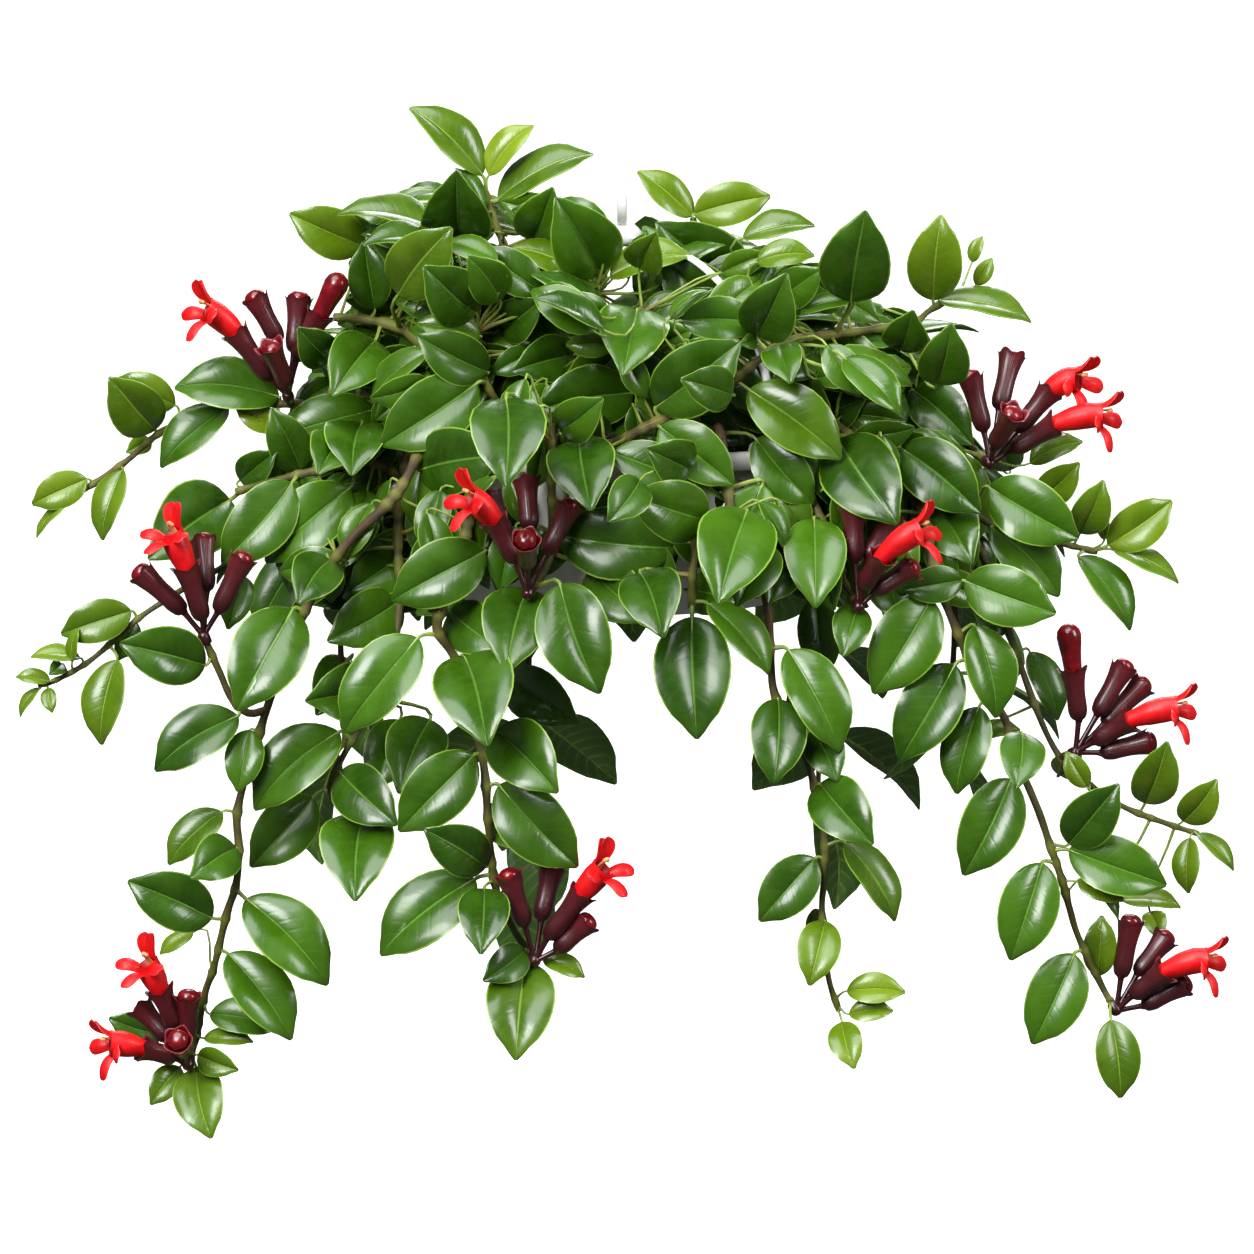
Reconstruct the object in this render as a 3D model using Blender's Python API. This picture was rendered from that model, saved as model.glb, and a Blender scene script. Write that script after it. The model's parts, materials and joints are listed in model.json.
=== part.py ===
"""A lipstick plant grown over the rim of a shallow white hanging bowl.

Lengths are metres, Z is up, X runs across the picture and Y away from the viewer.
Everything is made with the pot's underside at Z = 0 and its axis on X = Y = 0, and at the end
it is lowered so that the top of the hanger ring's bore is the origin.
Pieces the photograph shows are placed by the sight line of one photograph pixel and a depth.
"""

import math

import bmesh
import bpy
import numpy as np
from mathutils import Matrix
from mathutils.bvhtree import BVHTree

MM = 0.001

# One pixel of the photograph, measured in the plane of the pot's axis.
PIXEL = 0.385 * MM
VIEW_DISTANCE = 2.0
VIEW_TILT = math.radians(8)
CENTRE = 627
TARGET = np.array([1.9, 0.0, -12.8]) * MM
RIGHT = np.array([1.0, 0.0, 0.0])
UP = np.array([0.0, math.sin(VIEW_TILT), math.cos(VIEW_TILT)])
AHEAD = np.array([0.0, math.cos(VIEW_TILT), -math.sin(VIEW_TILT)])

GAP = 0.3 * MM

# Pot, soil and hanger.
POT_PROFILE = [
    (62, 0), (73, 14), (80, 34), (83.5, 55), (87, 56), (87.5, 61), (86, 62.5),
    (82.5, 62.5), (81.5, 60), (78, 36), (71, 16.5), (60, 3.2),
]
SOIL_PROFILE = [(59.2, 3.6), (70.3, 16.7), (77.3, 36), (79.2, 50)]
POT_SIDES = 26
RING_CENTRE = 152 * MM
RING_SIDES = 16
RING_BORE = 7.6 * MM
# The origin is on the flat at the top of the ring's bore, where the plant hangs.
HANGING_POINT = RING_CENTRE + RING_BORE * math.cos(math.pi / RING_SIDES)

# Stems: points above the soil in millimetres, then points seen as (x, y, depth in mm).
VINES = {
    "vine_sprig_top_left": dict(
        soil=[(-25, -16, 50.3), (-27, -17, 80)],
        seen=[(548, 330, -35), (534, 298, -34), (514, 271, -32), (504, 245, -30),
              (493, 217, -28), (485, 190, -26)],
        size=(2.0, 1.3)),
    "vine_sprig_top_centre": dict(
        soil=[(-14, -36, 50.3), (-15, -37, 75)],
        seen=[(583, 355, -50), (589, 318, -49), (598, 288, -47)],
        size=(2.0, 1.5)),
    "vine_sprig_top_right": dict(
        soil=[(24, 2, 50.3), (25, 2, 80)],
        seen=[(700, 300, -8), (697, 250, -7), (693, 218, -6)],
        size=(2.0, 1.3)),
    "vine_arch_right": dict(
        soil=[(-4, -61, 50.3), (-6, -64, 60)],
        seen=[(604, 447, -80), (626, 438, -85), (648, 426, -87), (713, 397, -88),
              (760, 359, -86), (790, 341, -80), (839, 334, -68), (881, 328, -58),
              (915, 322, -50), (929, 311, -46), (965, 289, -40)],
        size=(2.2, 1.2)),
    "vine_arch_left": dict(
        soil=[(-35, -40, 50.3), (-42, -40, 70)],
        seen=[(472, 392, -52), (441, 364, -51), (419, 342, -49), (402, 329, -47),
              (370, 320, -44), (334, 317, -40)],
        size=(2.2, 1.6)),
    "vine_reach_left": dict(
        soil=[(-50, -4, 50.3), (-62, -9, 76)],
        seen=[(390, 396, -36), (340, 402, -44), (289, 404, -46), (236, 402, -43),
              (198, 416, -41), (161, 432, -39), (129, 459, -37), (104, 477, -36),
              (72, 497, -35)],
        spurs=[[(291, 405, -46), (289, 399, -51)]],
        size=(2.1, 1.2)),
    "vine_reach_right": dict(
        soil=[(62, -25, 50.3), (76, -31, 78)],
        seen=[(880, 466, -60), (915, 474, -62), (950, 489, -60), (985, 521, -57),
              (1020, 533, -54), (1052, 541, -51), (1097, 552, -47)],
        size=(2.1, 1.2)),
    "vine_shoulder_right": dict(
        soil=[(54, 4, 50.3), (64, 2, 78)],
        seen=[(850, 400, -35), (900, 405, -38), (945, 425, -42), (974, 450, -47), (985, 459, -55)],
        size=(2.0, 1.5)),
    "vine_trail_right": dict(
        soil=[(58, -43, 50.3), (72, -52, 74)],
        seen=[(915, 500, -76), (932, 560, -84), (944, 599, -85), (962, 643, -84),
              (979, 681, -82), (1005, 719, -80), (1013, 753, -78), (1028, 786, -76),
              (1040, 815, -75), (1050, 845, -74), (1062, 880, -72), (1070, 910, -70),
              (1078, 936, -66), (1096, 974, -61), (1106, 994, -60), (1112, 1003, -66)],
        size=(2.2, 1.4)),
    "vine_fork_right": dict(
        soil=[(64, 12, 50.3), (82, 8, 74)],
        seen=[(935, 470, -15), (985, 560, -22), (1015, 650, -30), (1045, 730, -40),
              (1068, 768, -45), (1087, 783, -46), (1124, 807, -46), (1171, 825, -46),
              (1199, 834, -46)],
        spurs=[[(1060, 758, -43), (1071, 754, -50)]],
        size=(2.1, 1.1)),
    "vine_trail_centre_right": dict(
        soil=[(32, -58, 50.3), (34, -69, 65), (36, -83, 71)],
        seen=[(735, 535, -102), (758, 580, -105), (768, 610, -104),
              (771, 662, -102), (776, 698, -101), (805, 756, -98), (815, 790, -97),
              (824, 838, -96), (824, 879, -95), (822, 912, -94), (828, 975, -92),
              (839, 1011, -90)],
        size=(2.2, 1.2)),
    "vine_drop_centre": dict(
        soil=[(16, -62, 50.3), (19, -72, 65), (22, -88, 71)],
        seen=[(695, 540, -104), (692, 575, -105), (692, 608, -104)],
        size=(2.0, 1.5)),
    "vine_trail_centre_left": dict(
        soil=[(-38, -55, 50.3), (-43, -66, 66), (-50, -78, 71)],
        seen=[(470, 510, -96), (461, 560, -100), (447, 595, -102), (437, 628, -101),
              (455, 658, -99), (470, 700, -97), (479, 740, -96), (485, 775, -95),
              (488, 821, -94), (492, 865, -90), (498, 895, -84), (514, 930, -80),
              (526, 948, -83), (531, 955, -90)],
        size=(2.3, 1.5)),
    "vine_trail_left": dict(
        soil=[(-55, -43, 50.3), (-67, -56, 73)],
        seen=[(398, 492, -84), (351, 539, -84), (322, 579, -82), (305, 611, -81),
              (287, 654, -80), (268, 705, -79), (255, 748, -77), (246, 775, -76),
              (237, 815, -74), (239, 850, -73), (236, 885, -72), (227, 913, -70),
              (214, 967, -65), (205, 993, -58), (197, 1035, -51), (193, 1050, -54), (190, 1058, -61)],
        spurs=[[(266, 710, -79), (248, 713, -81), (231, 697, -83), (220, 673, -84),
                (207, 644, -86)]],
        size=(2.3, 1.4)),
    "vine_drop_left": dict(
        soil=[(-60, -30, 50.3), (-74, -40, 74)],
        seen=[(402, 480, -56), (398, 540, -62), (400, 600, -66), (392, 660, -70),
              (375, 708, -72), (351, 742, -72), (330, 788, -70), (345, 812, -68)],
        spurs=[[(402, 478, -56), (370, 462, -60), (320, 470, -62), (262, 484, -60),
                (236, 492, -58)]],
        size=(2.1, 1.3)),
    "vine_reach_low_left": dict(
        soil=[(-68, -12, 50.3), (-80, -20, 72)],
        seen=[(350, 485, -34), (290, 530, -38), (225, 566, -44), (190, 585, -47),
              (161, 603, -49), (134, 622, -50), (91, 660, -50), (54, 681, -50),
              (38, 685, -50)],
        size=(2.1, 1.0)),
    "vine_flower_centre": dict(
        soil=[(-21, -62, 50.3), (-24, -72, 66), (-26, -88, 71)],
        seen=[(552, 545, -93), (543, 575, -94), (536, 585, -98), (531, 588, -104)],
        size=(2.0, 1.5)),
    "vine_flower_right": dict(
        soil=[(45, -49, 50.3), (57, -57, 72)],
        seen=[(815, 505, -84), (832, 550, -84), (845, 585, -84), (852, 597, -89), (856, 602, -96)],
        size=(2.0, 1.5)),
    "vine_crown_left": dict(
        soil=[(-42, -14, 50.3), (-50, -16, 80)],
        seen=[(462, 320, -34), (452, 290, -34), (447, 262, -34)],
        size=(2.0, 1.3)),
    "vine_crown_front": dict(
        soil=[(-22, -24, 50.3), (-28, -34, 66)],
        seen=[(508, 412, -62), (486, 384, -68), (478, 350, -68), (476, 326, -66)],
        size=(2.0, 1.3)),
    "vine_crown_centre": dict(
        soil=[(8, -26, 50.3), (9, -34, 70)],
        seen=[(650, 400, -60), (648, 350, -64), (641, 306, -66)],
        size=(2.0, 1.3)),
    "vine_crown_right": dict(
        soil=[(38, -14, 50.3), (42, -14, 75)],
        seen=[(738, 380, -34), (742, 330, -34), (746, 285, -33)],
        size=(2.0, 1.3)),
}

# The far side, which no photograph shows: azimuth from +X, reach and fall in millimetres.
BACK_VINES = {
    "vine_back_1": (14, 128, -60, 46),
    "vine_back_2": (36, 112, 20, 50),
    "vine_back_3": (54, 132, -96, 52),
    "vine_back_4": (88, 118, 12, 48),
    "vine_back_5": (106, 134, -130, 54),
    "vine_back_6": (128, 112, 24, 44),
    "vine_back_7": (146, 130, -70, 52),
    "vine_back_8": (164, 116, 16, 46),
}
CROWN_BACK = "vine_crown_back"

# Leaves as the photograph shows them: foot x, foot y, tip x, tip y, width, all in pixels.
# The nearest ones come first. A sixth number is an extra depth in millimetres.
LEAVES_NEAR = [
    # top left sprig and crown
    (482, 175, 412, 105, 41), (489, 175, 532, 124, 30), (498, 200, 591, 150, 38),
    (483, 210, 457, 167, 16), (398, 295, 449, 230, 60), (443, 232, 338, 210, 30),
    (476, 313, 427, 269, 60), (488, 372, 418, 336, 50), (477, 383, 381, 445, 66),
    (570, 338, 485, 334, 40), (573, 355, 515, 370, 48), (632, 393, 535, 411, 62),
    (637, 310, 624, 369, 69), (656, 407, 739, 342, 66),
    # top centre sprig
    (598, 286, 510, 245, 36), (600, 273, 558, 201, 70), (610, 277, 691, 253, 34),
    (532, 240, 551, 191, 53), (735, 290, 660, 225, 78), (729, 331, 662, 258, 62),
    # top right sprigs
    (692, 216, 639, 170, 34), (694, 214, 770, 196, 44), (743, 238, 814, 223, 28),
    (757, 262, 814, 254, 28), (757, 336, 785, 277, 56),
    # along the arching stem
    (851, 301, 865, 215, 69), (933, 300, 941, 217, 54), (940, 301, 1032, 318, 30),
    (816, 363, 910, 421, 62), (749, 390, 842, 457, 62), (732, 395, 684, 380, 44),
    (660, 427, 734, 484, 52), (613, 453, 693, 484, 44), (850, 300, 800, 312, 18),
    (757, 341, 741, 344, 16), (913, 390, 971, 443, 52), (901, 448, 979, 511, 62),
    (937, 384, 951, 327, 50), (780, 345, 790, 380, 40),
    # right hand reach
    (989, 487, 1078, 538, 62), (992, 528, 1060, 595, 52), (965, 581, 1055, 613, 58),
    (1080, 533, 1103, 482, 38), (1108, 545, 1172, 501, 45), (1114, 550, 1180, 580, 22),
    (1079, 557, 1133, 628, 36), (1104, 540, 1108, 511, 11), (1042, 497, 1078, 464, 36),
    # right hand trail
    (975, 626, 998, 717, 50), (955, 665, 899, 760, 60), (931, 599, 874, 693, 66),
    (979, 707, 955, 793, 46), (1022, 733, 1017, 785, 45), (1011, 779, 964, 875, 60),
    (1042, 863, 1011, 960, 58), (1074, 954, 1033, 1044, 58), (1111, 1020, 1121, 1098, 44),
    (1069, 850, 1167, 884, 56), (1069, 844, 1118, 786, 50), (1078, 882, 1124, 900, 26),
    (1084, 880, 1120, 918, 14), (1122, 900, 1181, 905, 20), (1150, 912, 1160, 938, 24),
    # right hand fork
    (1145, 803, 1167, 744, 45), (1183, 821, 1216, 781, 36), (1190, 838, 1187, 893, 25),
    (1197, 834, 1235, 869, 18), (1087, 787, 1066, 752, 24),
    # centre right trail
    (778, 699, 774, 782, 54), (788, 650, 842, 750, 56), (815, 730, 837, 779, 40),
    (820, 784, 871, 842, 56), (845, 843, 898, 919, 36), (815, 858, 760, 921, 50),
    (825, 921, 810, 984, 42), (847, 991, 905, 991, 29), (849, 1014, 893, 1010, 22),
    (842, 1022, 854, 1067, 33),
    # centre left trail
    (474, 755, 399, 831, 60), (496, 731, 555, 790, 62), (499, 785, 577, 867, 64),
    (486, 867, 427, 831, 50), (475, 879, 379, 953, 62), (484, 889, 481, 951, 50),
    (525, 950, 485, 980, 36), (543, 959, 585, 976, 20), (526, 962, 516, 1057, 66),
    (418, 638, 342, 731, 62), (464, 656, 486, 740, 78),
    # left drop
    (340, 772, 394, 823, 55), (363, 814, 355, 896, 72), (339, 732, 253, 808, 60),
    (313, 798, 251, 866, 56),
    # middle of the mound, nearest leaves
    (527, 589, 507, 668, 68), (560, 584, 599, 692, 70), (510, 677, 576, 722, 58),
    (559, 536, 680, 548, 70), (708, 520, 632, 496, 60), (747, 511, 720, 598, 76),
    (814, 519, 816, 604, 60), (765, 541, 738, 603, 50), (692, 617, 697, 737, 74),
    (708, 604, 772, 672, 36), (815, 597, 824, 678, 46), (858, 606, 844, 654, 38),
    (962, 580, 903, 590, 36), (756, 439, 814, 504, 50), (838, 440, 895, 520, 75),
    (506, 399, 508, 504, 76, 16), (579, 441, 590, 505, 66), (485, 551, 392, 600, 62),
    (440, 482, 356, 551, 64), (640, 573, 662, 633, 60),
    # left of the mound
    (350, 488, 265, 561, 62), (292, 483, 222, 563, 60), (308, 549, 256, 633, 50),
    (245, 577, 228, 628, 34), (375, 341, 334, 392, 58), (375, 309, 364, 242, 42),
    (364, 246, 291, 214, 50), (375, 410, 276, 436, 52), (279, 397, 175, 385, 52),
    (280, 428, 235, 405, 28), (362, 424, 352, 470, 62),
    # left reach
    (155, 430, 111, 380, 54), (175, 405, 113, 380, 38), (228, 408, 159, 465, 42),
    (123, 470, 100, 539, 32), (87, 479, 32, 504, 36), (67, 503, 35, 536, 12),
    # low left reach
    (131, 611, 61, 634, 42), (117, 660, 99, 744, 42), (80, 658, 31, 655, 16),
    (72, 662, 77, 628, 13), (50, 681, 16, 676, 15), (40, 688, 19, 716, 11),
    (48, 688, 52, 712, 16), (205, 665, 122, 644, 56),
    # left trail
    (293, 609, 238, 708, 72), (238, 716, 154, 769, 52), (250, 730, 238, 791, 38),
    (222, 812, 167, 863, 36), (236, 848, 193, 876, 46), (212, 918, 129, 882, 56),
    (193, 932, 159, 953, 16), (246, 899, 329, 983, 60), (228, 954, 293, 1038, 52),
    (210, 1014, 279, 1028, 34), (204, 1038, 253, 1040, 16), (198, 1055, 237, 1070, 28),
    (196, 1067, 210, 1136, 50), (180, 1067, 151, 1104, 30), (164, 1035, 110, 1019, 36),
]
LEAVES_BEHIND = [
    (456, 238, 456, 176, 69, 12), (640, 268, 655, 235, 40, 24), (842, 304, 790, 268, 46, 14),
    (972, 262, 982, 236, 14, 6), (976, 285, 992, 258, 18, 6), (900, 350, 912, 314, 46, 16),
    (816, 348, 776, 378, 42, 10), (820, 420, 862, 400, 46, 14), (676, 408, 742, 442, 50, 12),
    (560, 300, 575, 262, 50, 20), (500, 300, 470, 258, 44, 16), (540, 310, 520, 262, 40, 22),
    (690, 300, 700, 262, 50, 26), (640, 350, 690, 330, 50, 18), (500, 330, 540, 300, 44, 16),
    (420, 300, 440, 270, 44, 18), (440, 420, 480, 460, 70, 12), (420, 470, 500, 455, 66, 16),
    (610, 440, 560, 425, 44, 14), (560, 430, 600, 400, 44, 20), (690, 470, 650, 450, 50, 14),
    (620, 520, 600, 470, 50, 14), (780, 480, 740, 462, 44, 18), (790, 560, 770, 600, 44, 14),
    (880, 520, 930, 560, 60, 14), (930, 500, 970, 560, 60, 18), (880, 560, 900, 620, 50, 16),
    (996, 600, 990, 642, 44, 14), (1030, 652, 1060, 719, 34, 12), (1030, 463, 1082, 440, 26, 10),
    (1060, 775, 1080, 750, 30, 8), (1098, 976, 1102, 916, 34, 12), (975, 735, 1020, 728, 18, 6),
    (1010, 470, 1000, 430, 36, 14), (400, 600, 330, 640, 56, 12), (450, 612, 500, 650, 52, 14),
    (420, 540, 350, 590, 60, 14), (330, 560, 300, 600, 50, 14), (430, 720, 400, 790, 60, 16),
    (400, 720, 375, 788, 50, 24), (494, 815, 530, 846, 40, 10), (362, 690, 310, 700, 60, 14),
    (350, 660, 318, 712, 54, 22), (590, 570, 650, 620, 56, 14), (300, 470, 272, 410, 44, 16),
    (340, 440, 320, 470, 50, 16), (240, 480, 275, 452, 34, 16), (230, 500, 152, 556, 76, 12),
    (136, 622, 118, 660, 24, 8), (62, 664, 50, 674, 16, 6), (330, 360, 300, 330, 40, 16),
    (385, 380, 340, 350, 44, 20), (430, 440, 400, 420, 50, 20), (690, 590, 740, 600, 44, 16),
    (822, 912, 806, 930, 20, 8), (360, 240, 340, 215, 40, 20), (150, 440, 127, 452, 20, 6),
    (780, 300, 820, 270, 40, 20), (870, 400, 880, 350, 44, 14), (640, 480, 610, 520, 40, 20),
]

# Flower clusters: the vine that carries it and which end of it, then one row per calyx:
# mouth x, mouth y, foot x, foot y, nearer by mm at the mouth, kind, throat or bud tip x, y.
CLUSTERS = {
    "cluster_top_left": ("vine_reach_left", 1, [
        (255, 298, 279, 342, 2, "bud"), (235, 332, 270, 379, 6, "flower", 206, 309),
        (270, 346, 288, 386, 16, "open"), (299, 299, 294, 352, -2, "bud"),
        (320, 315, 296, 360, 6, "club", 345, 277)]),
    "cluster_left": ("vine_trail_left", 1, [
        (141, 573, 184, 612, 2, "bud"), (186, 567, 203, 620, 8, "flower", 171, 533),
        (203, 541, 207, 590, -10, "bud"), (243, 559, 218, 612, 2, "bud")]),
    "cluster_centre": ("vine_flower_centre", 0, [
        (526, 480, 530, 530, -6, "open"), (570, 507, 547, 554, 0, "bud"),
        (526, 540, 527, 566, 22, "bud"), (494, 521, 516, 562, 6, "flower", 470, 498),
        (492, 497, 510, 540, -14, "small")]),
    "cluster_right": ("vine_flower_right", 0, [
        (853, 510, 855, 562, -2, "bud"), (891, 518, 868, 560, -8, "open"),
        (883, 556, 862, 588, 12, "flower", 921, 530), (912, 568, 874, 592, 4, "bud")]),
    "cluster_shoulder": ("vine_shoulder_right", 0, [
        (970, 377, 984, 431, 0, "bud"), (1012, 355, 999, 409, -8, "open"),
        (1050, 391, 1017, 431, 0, "flower", 1079, 379), (1014, 412, 994, 446, 18, "open"),
        (1056, 424, 1012, 450, 8, "flower", 1103, 415)]),
    "cluster_fork": ("vine_fork_right", 1, [
        (1073, 670, 1079, 720, 4, "club", 1062, 630), (1124, 667, 1097, 715, -2, "bud"),
        (1142, 685, 1104, 724, -10, "bud"), (1130, 720, 1094, 742, 8, "flower", 1178, 708),
        (1149, 742, 1101, 753, 2, "bud")]),
    "cluster_low_centre": ("vine_trail_centre_left", 0, [
        (509, 876, 525, 926, 6, "bud"), (552, 870, 541, 920, -4, "bud"),
        (582, 893, 547, 938, 6, "flower", 604, 868), (587, 922, 556, 951, 2, "bud")]),
    "cluster_low_right": ("vine_trail_right", 0, [
        (1131, 922, 1121, 977, 2, "bud"), (1165, 938, 1137, 974, -6, "bud"),
        (1165, 971, 1132, 996, 8, "flower", 1208, 960), (1184, 984, 1143, 1006, 0, "bud")]),
    "cluster_low_left": ("vine_trail_left", 0, [
        (160, 990, 176, 1028, 6, "flower", 146, 963), (140, 1007, 170, 1040, -4, "open"),
        (188, 997, 188, 1039, 6, "bud"), (178, 1040, 185, 1052, 20, "bud"),
        (142, 1048, 176, 1058, 6, "flower", 110, 1043)]),
}

CALYX_SIDES = 6
STEM_SIDES = 5
STEM_STEP = 19 * MM


def at(x, y, depth_mm):
    """The point on the sight line of pixel x, y, so many millimetres behind the axis plane."""
    depth = depth_mm * MM
    scale = PIXEL * (VIEW_DISTANCE + depth) / VIEW_DISTANCE
    return TARGET + RIGHT * (x - CENTRE) * scale + UP * (CENTRE - y) * scale + AHEAD * depth


def seen_from(point):
    """The pixel and the depth in millimetres of a point."""
    offset = np.asarray(point) - TARGET
    depth = offset @ AHEAD
    scale = PIXEL * (VIEW_DISTANCE + depth) / VIEW_DISTANCE
    return CENTRE + (offset @ RIGHT) / scale, CENTRE - (offset @ UP) / scale, depth / MM


def unit(vector):
    """The vector at length one."""
    return vector / max(np.linalg.norm(vector), 1e-12)


def smooth_path(points, step):
    """A curve through the points, cut into even steps."""
    p = np.array(points, float)
    p = np.vstack([2 * p[0] - p[1], p, 2 * p[-1] - p[-2]])
    fine = []
    for i in range(1, len(p) - 2):
        t = np.linspace(0, 1, 12, endpoint=False)[:, None]
        a, b, c, d = p[i - 1], p[i], p[i + 1], p[i + 2]
        fine.append(0.5 * (2 * b + (c - a) * t + (2 * a - 5 * b + 4 * c - d) * t ** 2
                           + (3 * b - a - 3 * c + d) * t ** 3))
    fine = np.vstack(fine + [p[-2][None]])
    run = np.r_[0, np.cumsum(np.linalg.norm(np.diff(fine, axis=0), axis=1))]
    count = max(2, round(run[-1] / step) + 1)
    places = np.linspace(0, run[-1], count)
    return np.stack([np.interp(places, run, fine[:, k]) for k in range(3)], axis=1)


def frames_along(path, first=None, side=None):
    """Unit directions and two cross directions carried along the path without twist."""
    heading = np.gradient(path, axis=0)
    heading = np.array([unit(h) for h in heading])
    if first is not None:
        heading[0] = first
    start = side if side is not None else np.array([0.31, 0.17, 0.93])
    if abs(unit(start) @ heading[0]) > 0.95:
        start = np.array([0.9, 0.4, 0.1])
    across = [unit(start - heading[0] * (start @ heading[0]))]
    for h in heading[1:]:
        across.append(unit(across[-1] - h * (across[-1] @ h)))
    across = np.array(across)
    return heading, across, np.cross(heading, across)


def tube(path, radii, sides, first=None, side=None):
    """A closed tube with flat ends: rings of points round the path."""
    heading, u, v = frames_along(path, first, side)
    turn = np.arange(sides) * 2 * math.pi / sides
    ring = np.cos(turn)[None, :, None] * u[:, None] + np.sin(turn)[None, :, None] * v[:, None]
    verts = (path[:, None] + ring * np.asarray(radii)[:, None, None]).reshape(-1, 3)
    faces = band_faces(len(path), sides)
    faces.append(tuple(range(sides))[::-1])
    last = (len(path) - 1) * sides
    faces.append(tuple(range(last, last + sides)))
    return verts, faces


def band_faces(rings, sides):
    """Four-cornered faces between neighbouring rings."""
    faces = []
    for i in range(rings - 1):
        for j in range(sides):
            k = (j + 1) % sides
            faces.append((i * sides + j, i * sides + k, (i + 1) * sides + k, (i + 1) * sides + j))
    return faces


def blade_axes(base, tip, face):
    """Length, direction along, direction across and upper face normal of a blade."""
    along = tip - base
    length = np.linalg.norm(along)
    a = along / length
    n = unit(face - a * (face @ a))
    return length, a, np.cross(n, a), n


def turned(vector, old, new):
    """A vector that was square to the old direction, turned with it to the new one."""
    return vector - (old + new) * (vector @ new) / max(1 + old @ new, 0.05)


def leaf_shell(root, base, tip, face, half, grow=0.0):
    """A leaf stalk and blade as one closed shell: three corners per row, then the tip."""
    length, a, s, n = blade_axes(base, tip, face)
    stalk = 0.8 * MM + grow
    thick = 0.7 * MM + grow
    stalk_way = unit(base - root) if np.linalg.norm(base - root) > 1e-6 else a
    rows = []
    for centre, way in ((root, stalk_way), (base, unit(stalk_way + a))):
        across, over = unit(turned(s, a, way)), unit(turned(n, a, way))
        rows += [centre + across * stalk + over * stalk * 0.5,
                 centre - across * stalk + over * stalk * 0.5, centre - over * stalk]
    for u, wide in ((0.3, 0.96), (0.64, 0.8)):
        centre = base + a * length * u + n * arch(u, length)
        w = half * wide + grow
        lift = half * wide * FOLD + grow
        rows += [centre + s * w + n * lift, centre - s * w + n * lift, centre - n * thick]
    rows.append(tip + a * grow)
    faces = [(0, 2, 1)]
    for i in range(3):
        for j in range(3):
            k = (j + 1) % 3
            faces.append((3 * i + j, 3 * i + k, 3 * i + 3 + k, 3 * i + 3 + j))
    faces += [(9, 10, 12), (10, 11, 12), (11, 9, 12)]
    return np.array(rows), faces


FOLD = 0.2
ARCH = 0.07


def arch(u, length):
    """How far the middle of a blade stands above the line from its foot to its tip."""
    return ARCH * length * 4 * u * (1 - u)


def add_mesh(name, verts, faces):
    """An object with one mesh, its faces turned outwards."""
    mesh = bpy.data.meshes.new(name)
    mesh.from_pydata([tuple(map(float, v)) for v in verts], [], faces)
    bm = bmesh.new()
    bm.from_mesh(mesh)
    bmesh.ops.remove_doubles(bm, verts=bm.verts, dist=1e-6)
    bmesh.ops.recalc_face_normals(bm, faces=bm.faces)
    bmesh.ops.triangulate(bm, faces=bm.faces)
    bm.to_mesh(mesh)
    bm.free()
    obj = bpy.data.objects.new(name, mesh)
    bpy.context.scene.collection.objects.link(obj)
    return obj


def joined(shells):
    """Several shells in one list of points and faces."""
    verts, faces, start = [], [], 0
    for v, f in shells:
        verts.append(v)
        faces += [tuple(i + start for i in face) for face in f]
        start += len(v)
    return np.vstack(verts), faces


def grown_as_one(name, first, others):
    """One body: the first shell with all the others melted into it, one by one."""
    obj = add_mesh(name, *first)
    for shell in others:
        piece = add_mesh(name + "_piece", *shell)
        melt = obj.modifiers.new("melt", "BOOLEAN")
        melt.operation = "UNION"
        melt.solver = "MANIFOLD"
        melt.object = piece
        graph = bpy.context.evaluated_depsgraph_get()
        whole = bpy.data.meshes.new_from_object(obj.evaluated_get(graph))
        obj.modifiers.clear()
        obj.data = whole
        bpy.data.objects.remove(piece)
    bm = bmesh.new()
    bm.from_mesh(obj.data)
    bmesh.ops.triangulate(bm, faces=bm.faces)
    bm.to_mesh(obj.data)
    bm.free()
    return obj


def lathe(profile_mm, sides):
    """A closed turned shape from points listed as radius and height in millimetres."""
    turn = np.arange(sides) * 2 * math.pi / sides
    profile = np.array(profile_mm, float) * MM
    verts = np.stack([np.outer(profile[:, 0], np.cos(turn)),
                      np.outer(profile[:, 0], np.sin(turn)),
                      np.repeat(profile[:, 1:], sides, axis=1)], axis=2).reshape(-1, 3)
    faces = band_faces(len(profile), sides)
    faces.append(tuple(range(sides))[::-1])
    last = (len(profile) - 1) * sides
    faces.append(tuple(range(last, last + sides)))
    return verts, faces


def back_routes():
    """Routes for the stems of the far side, as points in metres."""
    routes = {}
    for name, (azimuth, reach, fall, start) in BACK_VINES.items():
        angle = math.radians(azimuth)
        out = np.array([math.cos(angle), math.sin(angle), 0.0])
        radii = [start, start + 4, 74, 92, reach, reach + 4]
        heights = [50.3, 62, 84, 86, 48, fall]
        points = [out * r + np.array([0, 0, h]) for r, h in zip(radii, heights)]
        if fall < -40:
            points.insert(5, out * (reach + 6) + np.array([0, 0, 0.5 * (48 + fall)]))
        routes[name] = np.array(points) * MM
    routes[CROWN_BACK] = np.array([(0, 34, 50.3), (0, 35, 64), (-6, 42, 80), (-10, 50, 96),
                                   (-14, 58, 108)]) * MM
    return routes


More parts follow.
